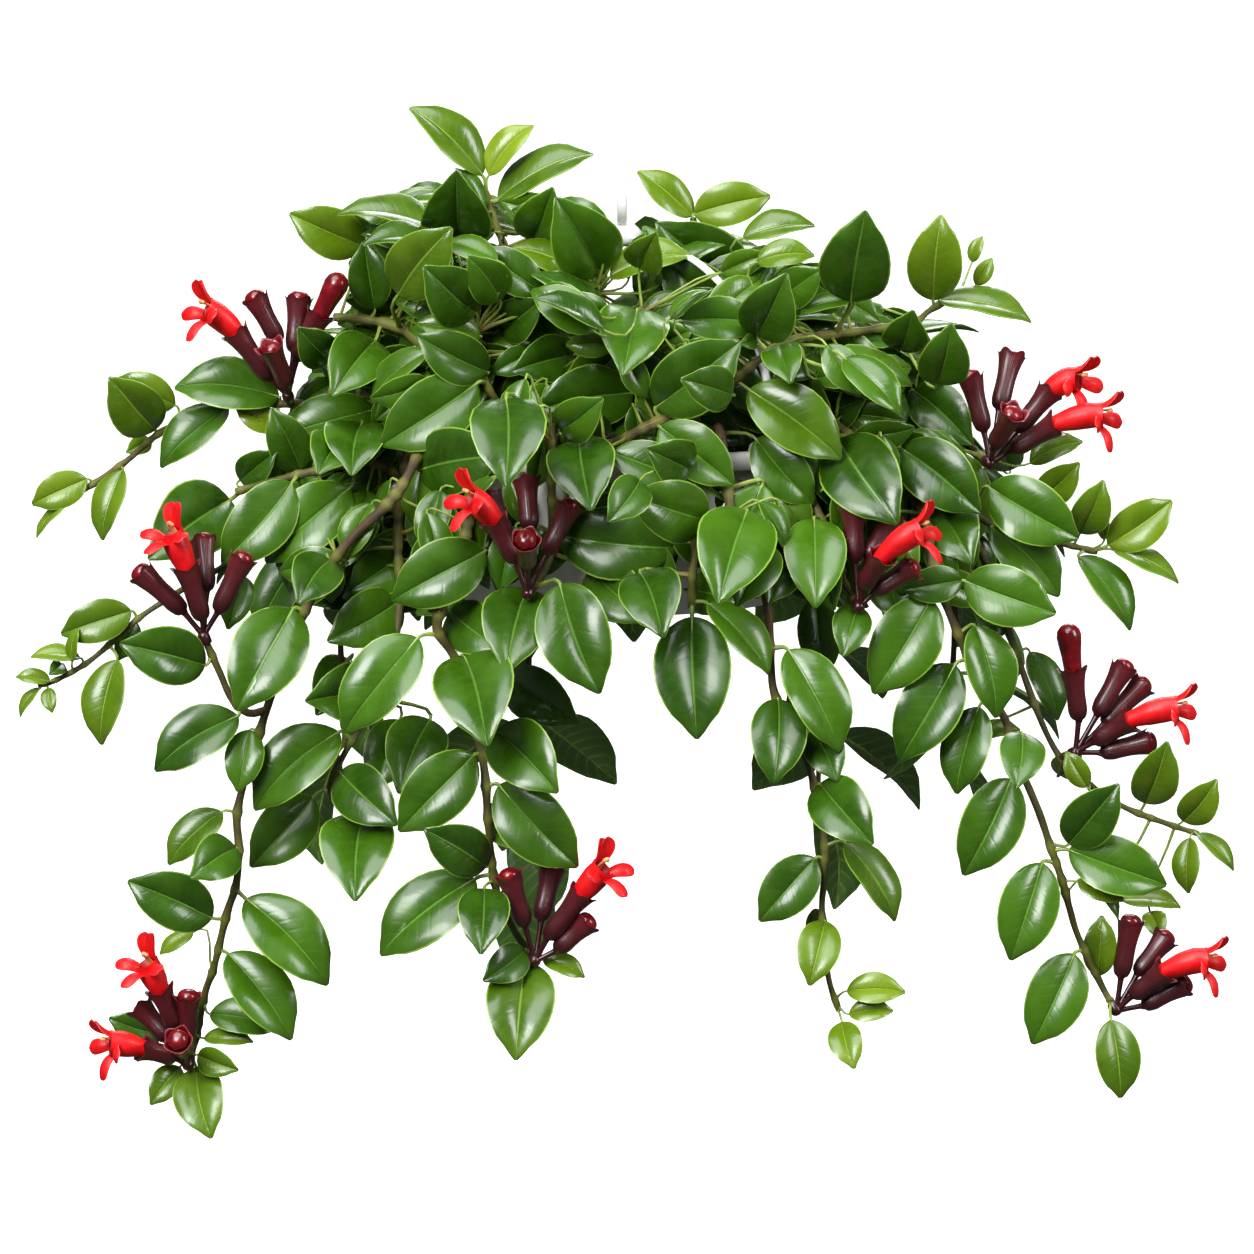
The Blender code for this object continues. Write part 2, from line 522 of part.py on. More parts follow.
def all_stems(step):
    """Every stem as name, path, radii and the index of the stem that it grows from."""
    stems = []
    for name, vine in VINES.items():
        points = [np.array(p) * MM for p in vine["soil"]] + [at(*p) for p in vine["seen"]]
        path = smooth_path(points, step)
        thick, thin = vine["size"]
        stems.append((name, path, np.linspace(thick, thin, len(path)) * MM))
        for spur in vine.get("spurs", []):
            path = smooth_path([at(*p) for p in spur], min(step, 4 * MM) if len(spur) == 2 else step)
            stems.append((name, path, np.linspace(1.7, 1.5, len(path)) * MM))
    for name, points in back_routes().items():
        path = smooth_path(points, step)
        stems.append((name, path, np.linspace(2.1, 1.3, len(path)) * MM))
    return stems


def mound_depth(x, y):
    """Depth in mm of the front of the leafy mound behind a pixel: a half ellipsoid."""
    across = (x - 632) / 440
    height = (y - 450) / (300 if y < 450 else 420)
    return -112 * math.sqrt(max(0.06, 1 - across ** 2 - height ** 2))


def foot_depth(x, y, samples):
    """The depth of the nearest stem within reach of the leaf's foot, or the mound's."""
    gap = np.hypot(samples[:, 3] - x, samples[:, 4] - y)
    near = gap < 26
    if near.any():
        return float(samples[near][np.argmin(samples[near][:, 5] + gap[near] * 0.4)][5]) - 2.0
    return mound_depth(x, y)


def even_points(path, step):
    """Points at even steps along the straight pieces of a path."""
    run = np.r_[0, np.cumsum(np.linalg.norm(np.diff(path, axis=0), axis=1))]
    places = np.linspace(0, run[-1], max(3, round(run[-1] / step) + 1))
    return np.stack([np.interp(places, run, path[:, k]) for k in range(3)], axis=1)


def stem_samples(stems):
    """Rows of x, y, z, pixel x, pixel y, depth and stem number."""
    rows = []
    for number, (name, path, radii) in enumerate(stems):
        fine = even_points(path, 3 * MM)
        for p in fine[2:-1]:
            rows.append([*p, *seen_from(p), number])
    return np.array(rows)


def leaf_pose(entry, depth, lean=0.0, turn=0.0):
    """Foot, tip, face and half width of a leaf seen as foot, tip and width in pixels."""
    x0, y0, x1, y1, wide = entry[:5]
    seen = math.hypot(x1 - x0, y1 - y0)
    full = max(seen, wide / 0.6)
    nearer = math.sqrt(full ** 2 - seen ** 2) * PIXEL / MM
    half = 0.5 * max(wide, min(0.56 * full, wide * 2.6)) * PIXEL
    base = at(x0, y0, depth)
    tip = at(x1, y1, depth - 0.92 * nearer - 0.1 * seen * PIXEL / MM + lean * full * PIXEL / MM)
    a = unit(tip - base)
    toward = -AHEAD
    n = unit(toward - a * (toward @ a))
    tilt = math.acos(min(1.0, wide * 0.5 * PIXEL / half))
    s = np.cross(n, a)
    choices = [n * math.cos(tilt) + s * math.sin(tilt), n * math.cos(tilt) - s * math.sin(tilt)]
    face = max(choices, key=lambda c: c[2])
    if turn:
        face = face * math.cos(turn) + np.cross(a, face) * math.sin(turn)
    return base, tip, face, half


def shell_tree(shell):
    """A search tree over a shell's faces, with its lowest and highest corners."""
    verts, faces = shell
    tree = BVHTree.FromPolygons([tuple(v) for v in verts], faces)
    return tree, verts.min(axis=0), verts.max(axis=0)


def clashes(tree, placed):
    """The owners of the shells that this one touches."""
    shape, low, high = tree
    found = []
    for (other, other_low, other_high), owner in placed:
        if (low > other_high).any() or (other_low > high).any():
            continue
        if shape.overlap(other):
            found.append(owner)
    return found


def is_clear(root, base, tip, face, half, own, placed):
    """Whether a leaf here touches only its own stem and its neighbours' stalks on that stem.

    Its blade, from an eighth of its length on, touches nothing at all.
    """
    whole = shell_tree(leaf_shell(root, base, tip, face, half, GAP))
    touched = clashes(whole, placed)
    if any(owner not in (own, ("leaf", own)) for owner in touched):
        return False
    if not touched:
        return True
    start = base + (tip - base) * 0.12
    blade = shell_tree(leaf_shell(start, start, tip, face, half, GAP))
    return not clashes(blade, placed)


SLIDES = [0, -4, 4, -8, 8, -12, 12, -16, 16, -20, 20, 24, 28, 34, 40, 48, 56]
TURNS = [(0.0, 0.0), (0.15, 0.0), (-0.15, 0.0), (0.0, 0.35), (0.0, -0.35), (-0.35, 0.0), (0.35, 0.3)]


def nearest_root(base, samples, reach):
    """The stem point that a leaf's stalk grows from, and its stem number."""
    gap = np.linalg.norm(samples[:, :3] - base, axis=1)
    i = int(np.argmin(gap))
    if gap[i] > reach:
        return None, None
    return samples[i, :3], int(samples[i, 6])


def place_seen_leaves(entries, samples, placed, leaves):
    """Slide each leaf along its sight line until it is clear of everything placed so far."""
    lost = []
    for entry in entries:
        extra = entry[5] if len(entry) > 5 else 0
        depth = foot_depth(entry[0], entry[1], samples) + extra
        done = False
        for lean, turn in TURNS:
            for slide in SLIDES:
                base, tip, face, half = leaf_pose(entry, depth + slide, lean, turn)
                root, number = nearest_root(base, samples, 34 * MM)
                if root is None:
                    continue
                if is_clear(root, base, tip, face, half, number, placed):
                    done = True
                    break
            if done:
                break
        if done:
            keep_leaf(root, base, tip, face, half, number, placed, leaves)
        else:
            lost.append(entry)
    return lost


def keep_leaf(root, base, tip, face, half, number, placed, leaves):
    """Note a leaf that has found its place."""
    shell = leaf_shell(root, base, tip, face, half)
    placed.append((shell_tree(shell), ("leaf", number)))
    leaves.append((root, base, tip, face, half, number))


def place_back_leaves(stems, samples, placed, leaves):
    """Leaf pairs, each turned a quarter from the last, along the stems of the far side."""
    for number, (name, path, radii) in enumerate(stems):
        if not (name.startswith("vine_back") or name == CROWN_BACK):
            continue
        fine = even_points(path, 2 * MM)
        heading, u, v = frames_along(fine)
        node = 16
        pair = 0
        while node < len(fine) - 1:
            root = fine[node]
            out = unit(root * np.array([1, 1, 0]) + np.array([0, 1e-4, 0]))
            up = unit(np.array([0, 0, 1.0]) - heading[node] * heading[node][2])
            side = np.cross(heading[node], up)
            quarter = side if pair % 2 == 0 else up
            for sign in (1, -1):
                try_back_leaf(root, quarter * sign, heading[node], out, number, pair, placed, leaves)
            pair += 1
            node += 17
        tip = fine[-1]
        try_back_leaf(tip, heading[-1] * 0.5, heading[-1], unit(tip * [1, 1, 0]), number, pair,
                      placed, leaves)


def try_back_leaf(root, away, heading, out, number, pair, placed, leaves):
    """Place one leaf of a pair, a little longer or shorter until it fits."""
    for long in (46, 40, 34, 28):
        for swing in (0.0, 0.35, -0.35, 0.7):
            reach = unit(away + heading * 0.55 + out * (0.35 + swing) + np.array([0, 0, -0.25]))
            base = root + unit(away + out * 0.4) * 7 * MM
            tip = base + reach * long * MM
            face = unit(out * 0.75 + np.array([0, 0, 0.65]))
            half = 0.29 * long * MM
            if abs(unit(face) @ reach) > 0.93:
                continue
            if is_clear(root, base, tip, face, half, number, placed):
                keep_leaf(root, base, tip, face, half, number, placed, leaves)
                return


def calyx_line(base_depth, row):
    """Foot and mouth points of one calyx."""
    x, y, foot_x, foot_y, nearer, kind = row[:6]
    mouth = at(x, y, base_depth - nearer)
    foot = at(foot_x, foot_y, base_depth - 0.35 * nearer)
    return foot, mouth, kind


CALYX_RINGS = [(0.0, 2.2), (0.14, 3.1), (0.8, 4.1), (1.0, 5.1)]
CAVITY = 0.45


def calyx_shell(hub, foot, mouth, kind):
    """A stalk that widens into a tubular calyx, hollow where a flower sits in it."""
    axis = unit(mouth - foot)
    length = np.linalg.norm(mouth - foot)
    size = 0.75 if kind == "small" else 1.0
    path = [hub, foot - axis * 1.0 * MM]
    radii = [1.0, 1.1]
    for u, r in CALYX_RINGS:
        path.append(foot + axis * length * u)
        radii.append(r * size)
    if kind in ("open", "flower"):
        path += [mouth - axis * 0.2 * MM, foot + axis * length * CAVITY]
        radii += [4.3, 2.7]
    elif kind == "club":
        return club_shell(path, radii, mouth, axis)
    else:
        path += [mouth + axis * 0.2 * MM, mouth + axis * 2.4 * MM, mouth + axis * 3.6 * MM]
        radii += [4.2 * size, 3.4 * size, 1.4 * size]
    path = np.array(path)
    return ring_shell(path, np.array(radii) * MM, axis)


def club_shell(path, radii, mouth, axis):
    """A calyx with a long closed bud standing out of it."""
    for step, r in ((0.3, 3.4), (8, 3.9), (13, 4.6), (16.5, 3.4), (17.6, 1.4)):
        path.append(mouth + axis * step * MM)
        radii.append(r)
    return ring_shell(np.array(path), np.array(radii) * MM, axis)


def calyx_side(axis):
    """The direction that a calyx's first corner faces."""
    side = np.array([0.31, 0.17, 0.93])
    if abs(unit(side) @ axis) > 0.95:
        side = np.array([0.9, 0.4, 0.1])
    return unit(side - axis * (side @ axis))


def ring_shell(path, radii, axis):
    """Rings square to one axis, closed at both ends, the first square to the stalk."""
    side = calyx_side(axis)
    other = np.cross(axis, side)
    turn = np.arange(CALYX_SIDES) * 2 * math.pi / CALYX_SIDES
    ring = np.cos(turn)[:, None] * side + np.sin(turn)[:, None] * other
    verts = (path[:, None] + ring[None] * radii[:, None, None]).reshape(-1, 3)
    faces = band_faces(len(path), CALYX_SIDES)
    faces.append(tuple(range(CALYX_SIDES))[::-1])
    last = (len(path) - 1) * CALYX_SIDES
    faces.append(tuple(range(last, last + CALYX_SIDES)))
    return verts, faces


def cluster_start(stems, vine, which):
    """The end of the stem that carries a cluster: the point, the direction, the thickness."""
    own = [s for s in stems if s[0] == vine]
    name, path, radii = own[which]
    heading, u, v = frames_along(path)
    return path[-1], heading[-1], u[-1], radii[-1]


def cluster_shells(stems, vine, which, rows):
    """A swollen end that carries the stalks of all the calyces."""
    end, heading, side, radius = cluster_start(stems, vine, which)
    start = end + heading * GAP
    path = np.array([start, start + heading * 2.6 * MM, start + heading * 4.4 * MM])
    knob = tube(path, np.array([radius, 2.3 * MM, 1.5 * MM]), 6, first=heading, side=side)
    hub = start + heading * 3.0 * MM
    depth = seen_from(hub)[2]
    shells, lines = [], []
    for row in rows:
        foot, mouth, kind = calyx_line(depth, row)
        shells.append(calyx_shell(hub, foot, mouth, kind))
        lines.append((foot, mouth, kind, row))
    return knob, shells, lines, depth


def corolla_shells(foot, mouth, row, depth):
    """A curved tube that stands in its calyx and opens in five lobes."""
    axis = unit(mouth - foot)
    length = np.linalg.norm(mouth - foot)
    throat = at(row[6], row[7], depth - row[4] - 3)
    inner = foot + axis * (length * CAVITY + 0.4 * MM)
    bend = 0.5 * (mouth + throat) + axis * 2.5 * MM
    path = np.array([inner, mouth - axis * 0.2 * MM, mouth + axis * 2 * MM, bend, throat])
    radii = np.array([2.25, 3.85, 3.9, 4.3, 4.9]) * MM
    heading = np.array([axis, axis, axis, unit(throat - mouth), unit(throat - bend)])
    side = [calyx_side(axis)] * 3
    for h in heading[3:]:
        side.append(unit(side[-1] - h * (side[-1] @ h)))
    side = np.array(side)
    other = np.cross(heading, side)
    turn = np.arange(CALYX_SIDES) * 2 * math.pi / CALYX_SIDES
    ring = np.cos(turn)[None, :, None] * side[:, None] + np.sin(turn)[None, :, None] * other[:, None]
    verts = (path[:, None] + ring * radii[:, None, None]).reshape(-1, 3)
    faces = band_faces(len(path), CALYX_SIDES)
    faces.append(tuple(range(CALYX_SIDES))[::-1])
    faces.append(tuple(range(4 * CALYX_SIDES, 5 * CALYX_SIDES)))
    return (verts, faces), [lobe_shell(*lobe) for lobe in lobe_lines(throat, heading[-1])]


def lobe_lines(throat, axis):
    """Foot, tip, face and half width of the five lobes: two stand forward, three turn back."""
    up = unit(np.array([0, 0, 1.0]) - axis * axis[2])
    side = np.cross(axis, up)
    lines = []
    for along, over, out, long in ((0.85, 0.5, 0.3, 11.5), (0.85, 0.5, -0.3, 11.5),
                                   (0.45, 0.05, 1.0, 10.5), (0.45, 0.05, -1.0, 10.5),
                                   (0.35, -1.0, 0.0, 12.0)):
        reach = unit(axis * along + up * over + side * out)
        ring = unit(up * over + side * out)
        base = throat + ring * 2.7 * MM - axis * 1.9 * MM
        face = unit(axis - reach * (axis @ reach))
        lines.append((base, base + reach * long * MM, face, 3.6 * MM))
    return lines


def lobe_shell(base, tip, face, half):
    """A petal lobe: broad near its end, thick enough to stand."""
    length, a, s, n = blade_axes(base, tip, face)
    rows = []
    for u, wide, thick in ((0.0, 0.62, 1.1), (0.62, 1.0, 0.9), (0.93, 0.55, 0.7)):
        centre = base + a * length * u
        w, t = half * wide, thick * MM
        rows += [centre + s * w + n * t * 0.6, centre - s * w + n * t * 0.6, centre - n * t]
    faces = band_faces(3, 3)
    faces += [(2, 1, 0), (6, 7, 8)]
    return np.array(rows), faces


def rim_point(azimuth, radius, height):
    """A point in millimetres round the pot's axis, in metres."""
    angle = math.radians(azimuth)
    return np.array([radius * math.cos(angle), radius * math.sin(angle), height]) * MM


ARM_AZIMUTHS = {"hanger_arm_front": -51.5, "hanger_arm_back": 71.0, "hanger_arm_left": 177.0}
ARM_ROUTE = [(90.0, 50.0), (91.0, 57.0), (90.6, 66.0), (88.0, 82.0), (80.0, 102.0), (62.0, 121.0),
             (38.0, 132.5), (8.6, 137.0)]


def arm_shell(azimuth):
    """A flat strap from the outside of the rim up and over to the crown."""
    spine = smooth_path([rim_point(azimuth, r, h) for r, h in ARM_ROUTE], 14 * MM)
    across = np.array([-math.sin(math.radians(azimuth)), math.cos(math.radians(azimuth)), 0])
    heading = np.gradient(spine, axis=0)
    heading = np.array([unit(h) for h in heading])
    normal = np.cross(heading, across)
    wide, thick = 1.9 * MM, 0.8 * MM
    corners = [(1, 1), (-1, 1), (-1, -1), (1, -1)]
    verts = np.array([[p + across * wide * a + n * thick * b for a, b in corners]
                      for p, n in zip(spine, normal)]).reshape(-1, 3)
    faces = band_faces(len(spine), 4)
    faces.append((0, 1, 2, 3)[::-1])
    last = (len(spine) - 1) * 4
    faces.append((last, last + 1, last + 2, last + 3))
    return verts, faces


def clip_shell(azimuth):
    """A short hook that goes from the strap over the rim and down inside it."""
    points = [(90.0, 50.5), (90.2, 62.0), (88.8, 65.2), (84.0, 65.2), (80.2, 64.0), (79.2, 58.0)]
    return [rim_point(azimuth, r, h) for r, h in points]


def hook_shells():
    """A round crown with a flat ring standing on it, its bore across the picture."""
    crown = lathe([(6.2, 134.0), (8.0, 135.2), (8.0, 139.0), (5.0, 142.0)], 16)
    outer, inner, half = 11.0 * MM, RING_BORE, 1.9 * MM
    sides = RING_SIDES
    turn = (np.arange(sides) + 0.5) * 2 * math.pi / sides
    rows = []
    for radius, x in ((outer, -half), (outer, half), (inner, half), (inner, -half)):
        rows.append(np.stack([np.full(sides, x), radius * np.cos(turn),
                              RING_CENTRE + radius * np.sin(turn)], axis=1))
    verts = np.vstack(rows)
    faces = []
    for i in range(4):
        for j in range(sides):
            k = (j + 1) % sides
            n = (i + 1) % 4
            faces.append((i * sides + j, i * sides + k, n * sides + k, n * sides + j))
    return crown, (verts, faces)


def build_made_pieces(placed):
    """Pot, soil, crown with its ring, and three arms."""
    shells = {"pot": lathe(POT_PROFILE, POT_SIDES), "soil": lathe(SOIL_PROFILE, POT_SIDES)}
    add_mesh("pot", *shells["pot"])
    add_mesh("soil", *shells["soil"])
    crown, ring = hook_shells()
    grown_as_one("hanger_hook", crown, [ring])
    placed.append((shell_tree(crown), ("made", "hook")))
    placed.append((shell_tree(ring), ("made", "hook")))
    for name, azimuth in ARM_AZIMUTHS.items():
        arm = arm_shell(azimuth)
        clip = arm_clip(azimuth)
        grown_as_one(name, arm, [clip])
        placed.append((shell_tree(arm), ("made", name)))
        placed.append((shell_tree(clip), ("made", name)))
    for name, shell in shells.items():
        placed.append((shell_tree(shell), ("made", name)))


def arm_clip(azimuth):
    """The rim hook of an arm as a flat bent strap."""
    spine = np.array(clip_shell(azimuth))
    across = np.array([-math.sin(math.radians(azimuth)), math.cos(math.radians(azimuth)), 0])
    heading = np.array([unit(h) for h in np.gradient(spine, axis=0)])
    normal = np.cross(heading, across)
    wide, thick = 3.4 * MM, 0.75 * MM
    corners = [(1, 1), (-1, 1), (-1, -1), (1, -1)]
    verts = np.array([[p + across * wide * a + n * thick * b for a, b in corners]
                      for p, n in zip(spine, normal)]).reshape(-1, 3)
    faces = band_faces(len(spine), 4)
    faces.append((0, 1, 2, 3)[::-1])
    last = (len(spine) - 1) * 4
    faces.append((last, last + 1, last + 2, last + 3))
    return verts, faces


def build_flowers(stems, placed):
    """Clusters and the open flowers that stand in them."""
    for name, (vine, which, rows) in CLUSTERS.items():
        knob, shells, lines, depth = cluster_shells(stems, vine, which, rows)
        grown_as_one(name, knob, shells)
        for shell in [knob] + shells:
            placed.append((shell_tree(shell), ("cluster", name)))
        flower = 0
        for foot, mouth, kind, row in lines:
            if kind != "flower":
                continue
            flower += 1
            body, lobes = corolla_shells(foot, mouth, row, depth)
            grown_as_one(f"{name.replace('cluster', 'flower')}_{flower}", body, lobes)
            for shell in [body] + lobes:
                placed.append((shell_tree(shell), ("flower", name)))


def build():
    """Everything, made pieces first so that the plant grows round them."""
    placed = []
    build_made_pieces(placed)
    stems = all_stems(STEM_STEP)
    samples = stem_samples(stems)
    build_flowers(stems, placed)
    names = [s[0] for s in stems]
    tubes = []
    for number, (name, path, radii) in enumerate(stems):
        rising = np.array([0, 0, 1.0]) if abs(path[0][2] - 0.0503) < 1e-6 else None
        shell = tube(path, radii, STEM_SIDES, first=rising)
        tubes.append(shell)
        placed.append((shell_tree(shell), names.index(name)))
    owner = np.array([names.index(n) for n in names])
    samples[:, 6] = owner[samples[:, 6].astype(int)]
    leaves = []
    lost = place_seen_leaves(LEAVES_NEAR, samples, placed, leaves)
    lost += place_seen_leaves(LEAVES_BEHIND, samples, placed, leaves)
    seen_count = len(leaves)
    place_back_leaves(stems, samples, placed, leaves)
    print(f"leaves seen {seen_count}, added behind {len(leaves) - seen_count}, without room {len(lost)}")
    for entry in lost:
        print("no room for", entry)
    for name in dict.fromkeys(names):
        own = names.index(name)
        shells = [tubes[i] for i, n in enumerate(names) if n == name]
        blades = [leaf_shell(*leaf[:5]) for leaf in leaves if leaf[5] == own]
        grown_as_one(name, shells[0], shells[1:] + blades)
    for obj in bpy.data.objects:
        obj.data.transform(Matrix.Translation((0, 0, -HANGING_POINT)))


for startup in list(bpy.data.objects):
    bpy.data.objects.remove(startup)
build()
print("triangles", sum(len(o.data.polygons) for o in bpy.data.objects), "nodes", len(bpy.data.objects))
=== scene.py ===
# %% [markdown]
# # A lipstick plant in a white hanging bowl
# The imported model gives the frame: every piece made here stands where its solid stands.

# %% Load the frame
import itertools
import json
import math

import bmesh
import bpy
import numpy as np
from mathutils import Matrix, Vector
from mathutils.bvhtree import BVHTree
from mathutils.kdtree import KDTree

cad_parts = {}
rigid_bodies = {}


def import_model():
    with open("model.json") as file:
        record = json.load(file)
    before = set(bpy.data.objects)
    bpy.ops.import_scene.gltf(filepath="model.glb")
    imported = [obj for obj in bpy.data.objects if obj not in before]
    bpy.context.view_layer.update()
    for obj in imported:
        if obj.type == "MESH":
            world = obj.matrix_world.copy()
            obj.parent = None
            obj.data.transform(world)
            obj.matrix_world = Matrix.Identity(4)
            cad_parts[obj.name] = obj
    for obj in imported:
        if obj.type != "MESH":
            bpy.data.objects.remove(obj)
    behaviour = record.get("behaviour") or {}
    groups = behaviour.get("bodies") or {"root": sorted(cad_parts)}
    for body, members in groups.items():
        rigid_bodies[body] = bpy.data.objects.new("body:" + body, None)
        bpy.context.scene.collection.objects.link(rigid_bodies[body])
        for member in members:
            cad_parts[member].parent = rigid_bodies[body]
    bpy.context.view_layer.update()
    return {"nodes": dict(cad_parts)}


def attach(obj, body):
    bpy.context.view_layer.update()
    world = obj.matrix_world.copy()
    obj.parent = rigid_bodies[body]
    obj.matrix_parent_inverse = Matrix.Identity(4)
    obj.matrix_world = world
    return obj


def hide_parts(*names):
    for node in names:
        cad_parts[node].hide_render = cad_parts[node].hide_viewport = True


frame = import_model()
nodes = frame["nodes"]
print("solids in the frame:", len(nodes))

# %% [markdown]
# ## Sizes and sight lines
# One pixel of the photograph is 0.385 mm in the plane of the pot's axis. A piece is placed by the
# pixel where it shows and its depth behind that plane, so the same few lines turn a pixel and a
# depth into a point, and a point back into a pixel.
# Heights count from the underside of the pot; the origin is the top of the ring's bore.

# %% Scale, view and the point where the plant hangs
MM = 0.001
# One pixel of the photograph, measured in the plane of the pot's axis.
PIXEL = 0.385 * MM
VIEW_DISTANCE = 2.0
VIEW_TILT = math.radians(8)
# The middle of the photograph, in pixels, and the point in metres that it shows.
CENTRE = 627
TARGET = np.array([1.9, 0.0, -12.8]) * MM
RIGHT = np.array([1.0, 0.0, 0.0])
UP = np.array([0.0, math.sin(VIEW_TILT), math.cos(VIEW_TILT)])
AHEAD = np.array([0.0, math.cos(VIEW_TILT), -math.sin(VIEW_TILT)])
# A cluster starts this far from the end of its stem, so that the two solids stay apart.
GAP = 0.3 * MM
RING_CENTRE = 152 * MM
RING_BORE = 7.6 * MM
HANGING_POINT = RING_CENTRE + RING_BORE * math.cos(math.pi / 16)
DROP = np.array([0, 0, -HANGING_POINT])


def at(x, y, depth_mm):
    """The point on the sight line of pixel x, y, so many millimetres behind the axis plane."""
    depth = depth_mm * MM
    scale = PIXEL * (VIEW_DISTANCE + depth) / VIEW_DISTANCE
    return TARGET + RIGHT * (x - CENTRE) * scale + UP * (CENTRE - y) * scale + AHEAD * depth


def seen_from(point):
    """The pixel and the depth in millimetres of a point."""
    offset = np.asarray(point) - TARGET
    depth = offset @ AHEAD
    scale = PIXEL * (VIEW_DISTANCE + depth) / VIEW_DISTANCE
    return CENTRE + (offset @ RIGHT) / scale, CENTRE - (offset @ UP) / scale, depth / MM


def unit(vector):
    """The vector at length one."""
    return vector / max(np.linalg.norm(vector), 1e-12)


print("ring bore top above the pot's foot:", round(HANGING_POINT / MM, 2), "mm")

# %% [markdown]
# ## Camera
# The photograph looks a little down on the plant from two metres away. A long lens keeps the far
# leaves nearly as large as the near ones. The camera is turned by its own three directions.

# %% Camera
SENSOR_WIDTH = 36
SIGHT_RANGE = 0.1, 300


def put_in_scene(name, data):
    """A new object that holds the data, in the scene."""
    made = bpy.data.objects.new(name, data)
    bpy.context.scene.collection.objects.link(made)
    return made


def place_camera():
    """A camera two metres in front, looking along AHEAD, with the photograph's frame."""
    data = bpy.data.cameras.new("photo_camera")
    data.sensor_width = SENSOR_WIDTH
    data.lens = SENSOR_WIDTH * VIEW_DISTANCE / (2 * CENTRE * PIXEL)
    data.clip_start, data.clip_end = SIGHT_RANGE
    camera = put_in_scene("photo_camera", data)
    turn = Matrix(np.stack([RIGHT, UP, -AHEAD], axis=1).tolist()).to_4x4()
    camera.matrix_world = Matrix.Translation(TARGET + DROP - AHEAD * VIEW_DISTANCE) @ turn
    bpy.context.scene.camera = camera
    return data.lens


print("lens:", round(place_camera(), 1), "mm")

# %% [markdown]
# ## Studio
# A leaf this glossy shows the lamps more than its own green. A room that is white all round would
# veil every leaf with grey, so the room is dim for everything but the camera, and a few large soft
# lamps above and beside the plant draw the pale sheen. The floor lies far below, because the plant
# hangs; it is pale, and the camera alone sees it.

# %% Room light and lamps
FLOOR_LEVEL = -0.72
# Panels: place and size in metres, power in watts.
LAMPS = {
    "key_panel": ((-0.85, -1.75, 0.95), (0.9, 0.9), 48),
    "side_panel": ((1.5, -0.9, 0.7), (0.5, 1.1), 22),
    "back_panel": ((0.2, 1.4, 1.0), (1.2, 0.7), 16),
}
# The overhead disc: direction, width in degrees, strength.
SKY_DISC = ((-0.2, -0.42, 1.0), 48, 3.1)
ROOM_LIGHT = 0.11


def light_room(strength):
    """A dim even surround that the camera sees as plain white."""
    world = bpy.data.worlds.new("white_room")
    world.use_nodes = True
    tree = world.node_tree
    background = tree.nodes["Background"]
    background.inputs["Color"].default_value = (1.0, 1.0, 1.0, 1)
    seen = tree.nodes.new("ShaderNodeLightPath").outputs["Is Camera Ray"]
    share = tree.nodes.new("ShaderNodeMapRange")
    share.inputs["To Min"].default_value = strength
    tree.links.new(seen, share.inputs["Value"])
    tree.links.new(share.outputs["Result"], background.inputs["Strength"])
    bpy.context.scene.world = world
    bpy.context.scene.view_settings.view_transform = "Standard"


def hang_lamp(name, place, size, power):
    """A flat panel of light that faces the middle of the plant."""
    data = bpy.data.lights.new(name, "AREA")
    data.shape = "RECTANGLE"
    data.size, data.size_y = size
    data.energy = power
    lamp = put_in_scene(name, data)
    aim = Vector(TARGET + DROP) - Vector(place)
    lamp.matrix_world = Matrix.Translation(place) @ aim.to_track_quat("-Z", "Y").to_matrix().to_4x4()


def hang_sky(direction, width, strength):
    """One wide soft lamp far overhead."""
    data = bpy.data.lights.new("sky_disc", "SUN")
    data.angle = math.radians(width)
    data.energy = strength
    lamp = put_in_scene("sky_disc", data)
    lamp.matrix_world = Vector(direction).to_track_quat("Z", "Y").to_matrix().to_4x4()


light_room(ROOM_LIGHT)
for lamp_name, lamp_row in LAMPS.items():
    hang_lamp(lamp_name, *lamp_row)
hang_sky(*SKY_DISC)
print("lamps:", len(LAMPS) + 1)

# %% [markdown]
# ## A few helpers for materials
# Each material is a small tree of nodes. These helpers add one node at a time: a sum, a blend of
# two colours, a soft step. A value that changes over a leaf is stored at its points and read back
# by name, so the pattern follows the leaf however it is bent.

# %% Node helpers
def add_node(tree, kind, settings=None, **inputs):
    """One node; an input is a number, a colour or another node's output."""
    made = tree.nodes.new(kind)
    for key, value in (settings or {}).items():
        setattr(made, key, value)
    for key, value in inputs.items():
        join(tree, made.inputs[key.replace("_", " ")], value)
    return made


def join(tree, socket, value):
    """Set a socket, or link it when the value comes from another node."""
    if isinstance(value, bpy.types.NodeSocket):
        tree.links.new(value, socket)
    else:
        socket.default_value = value


def math_node(tree, operation, *values):
    """A sum of one, two or three numbers."""
    made = tree.nodes.new("ShaderNodeMath")
    made.operation = operation
    for socket, value in zip(made.inputs, values):
        join(tree, socket, value)
    return made.outputs[0]


def scaled(tree, value, factor, start):
    """start plus the value times the factor."""
    return math_node(tree, "MULTIPLY_ADD", value, factor, start)


def soft_step(tree, value, low, high, start=0.0, end=1.0):
    """From start to end as the value goes from low to high, with eased ends."""
    made = add_node(tree, "ShaderNodeMapRange", {"interpolation_type": "SMOOTHSTEP"}, Value=value)
    for key, number in zip(("From Min", "From Max", "To Min", "To Max"), (low, high, start, end)):
        made.inputs[key].default_value = number
    return made.outputs[0]


def blend_colours(tree, share, first, second):
    """first at share 0, second at share 1."""
    made = add_node(tree, "ShaderNodeMix", {"data_type": "RGBA"}, Factor=share)
    join(tree, made.inputs[6], first)
    join(tree, made.inputs[7], second)
    return made.outputs[2]


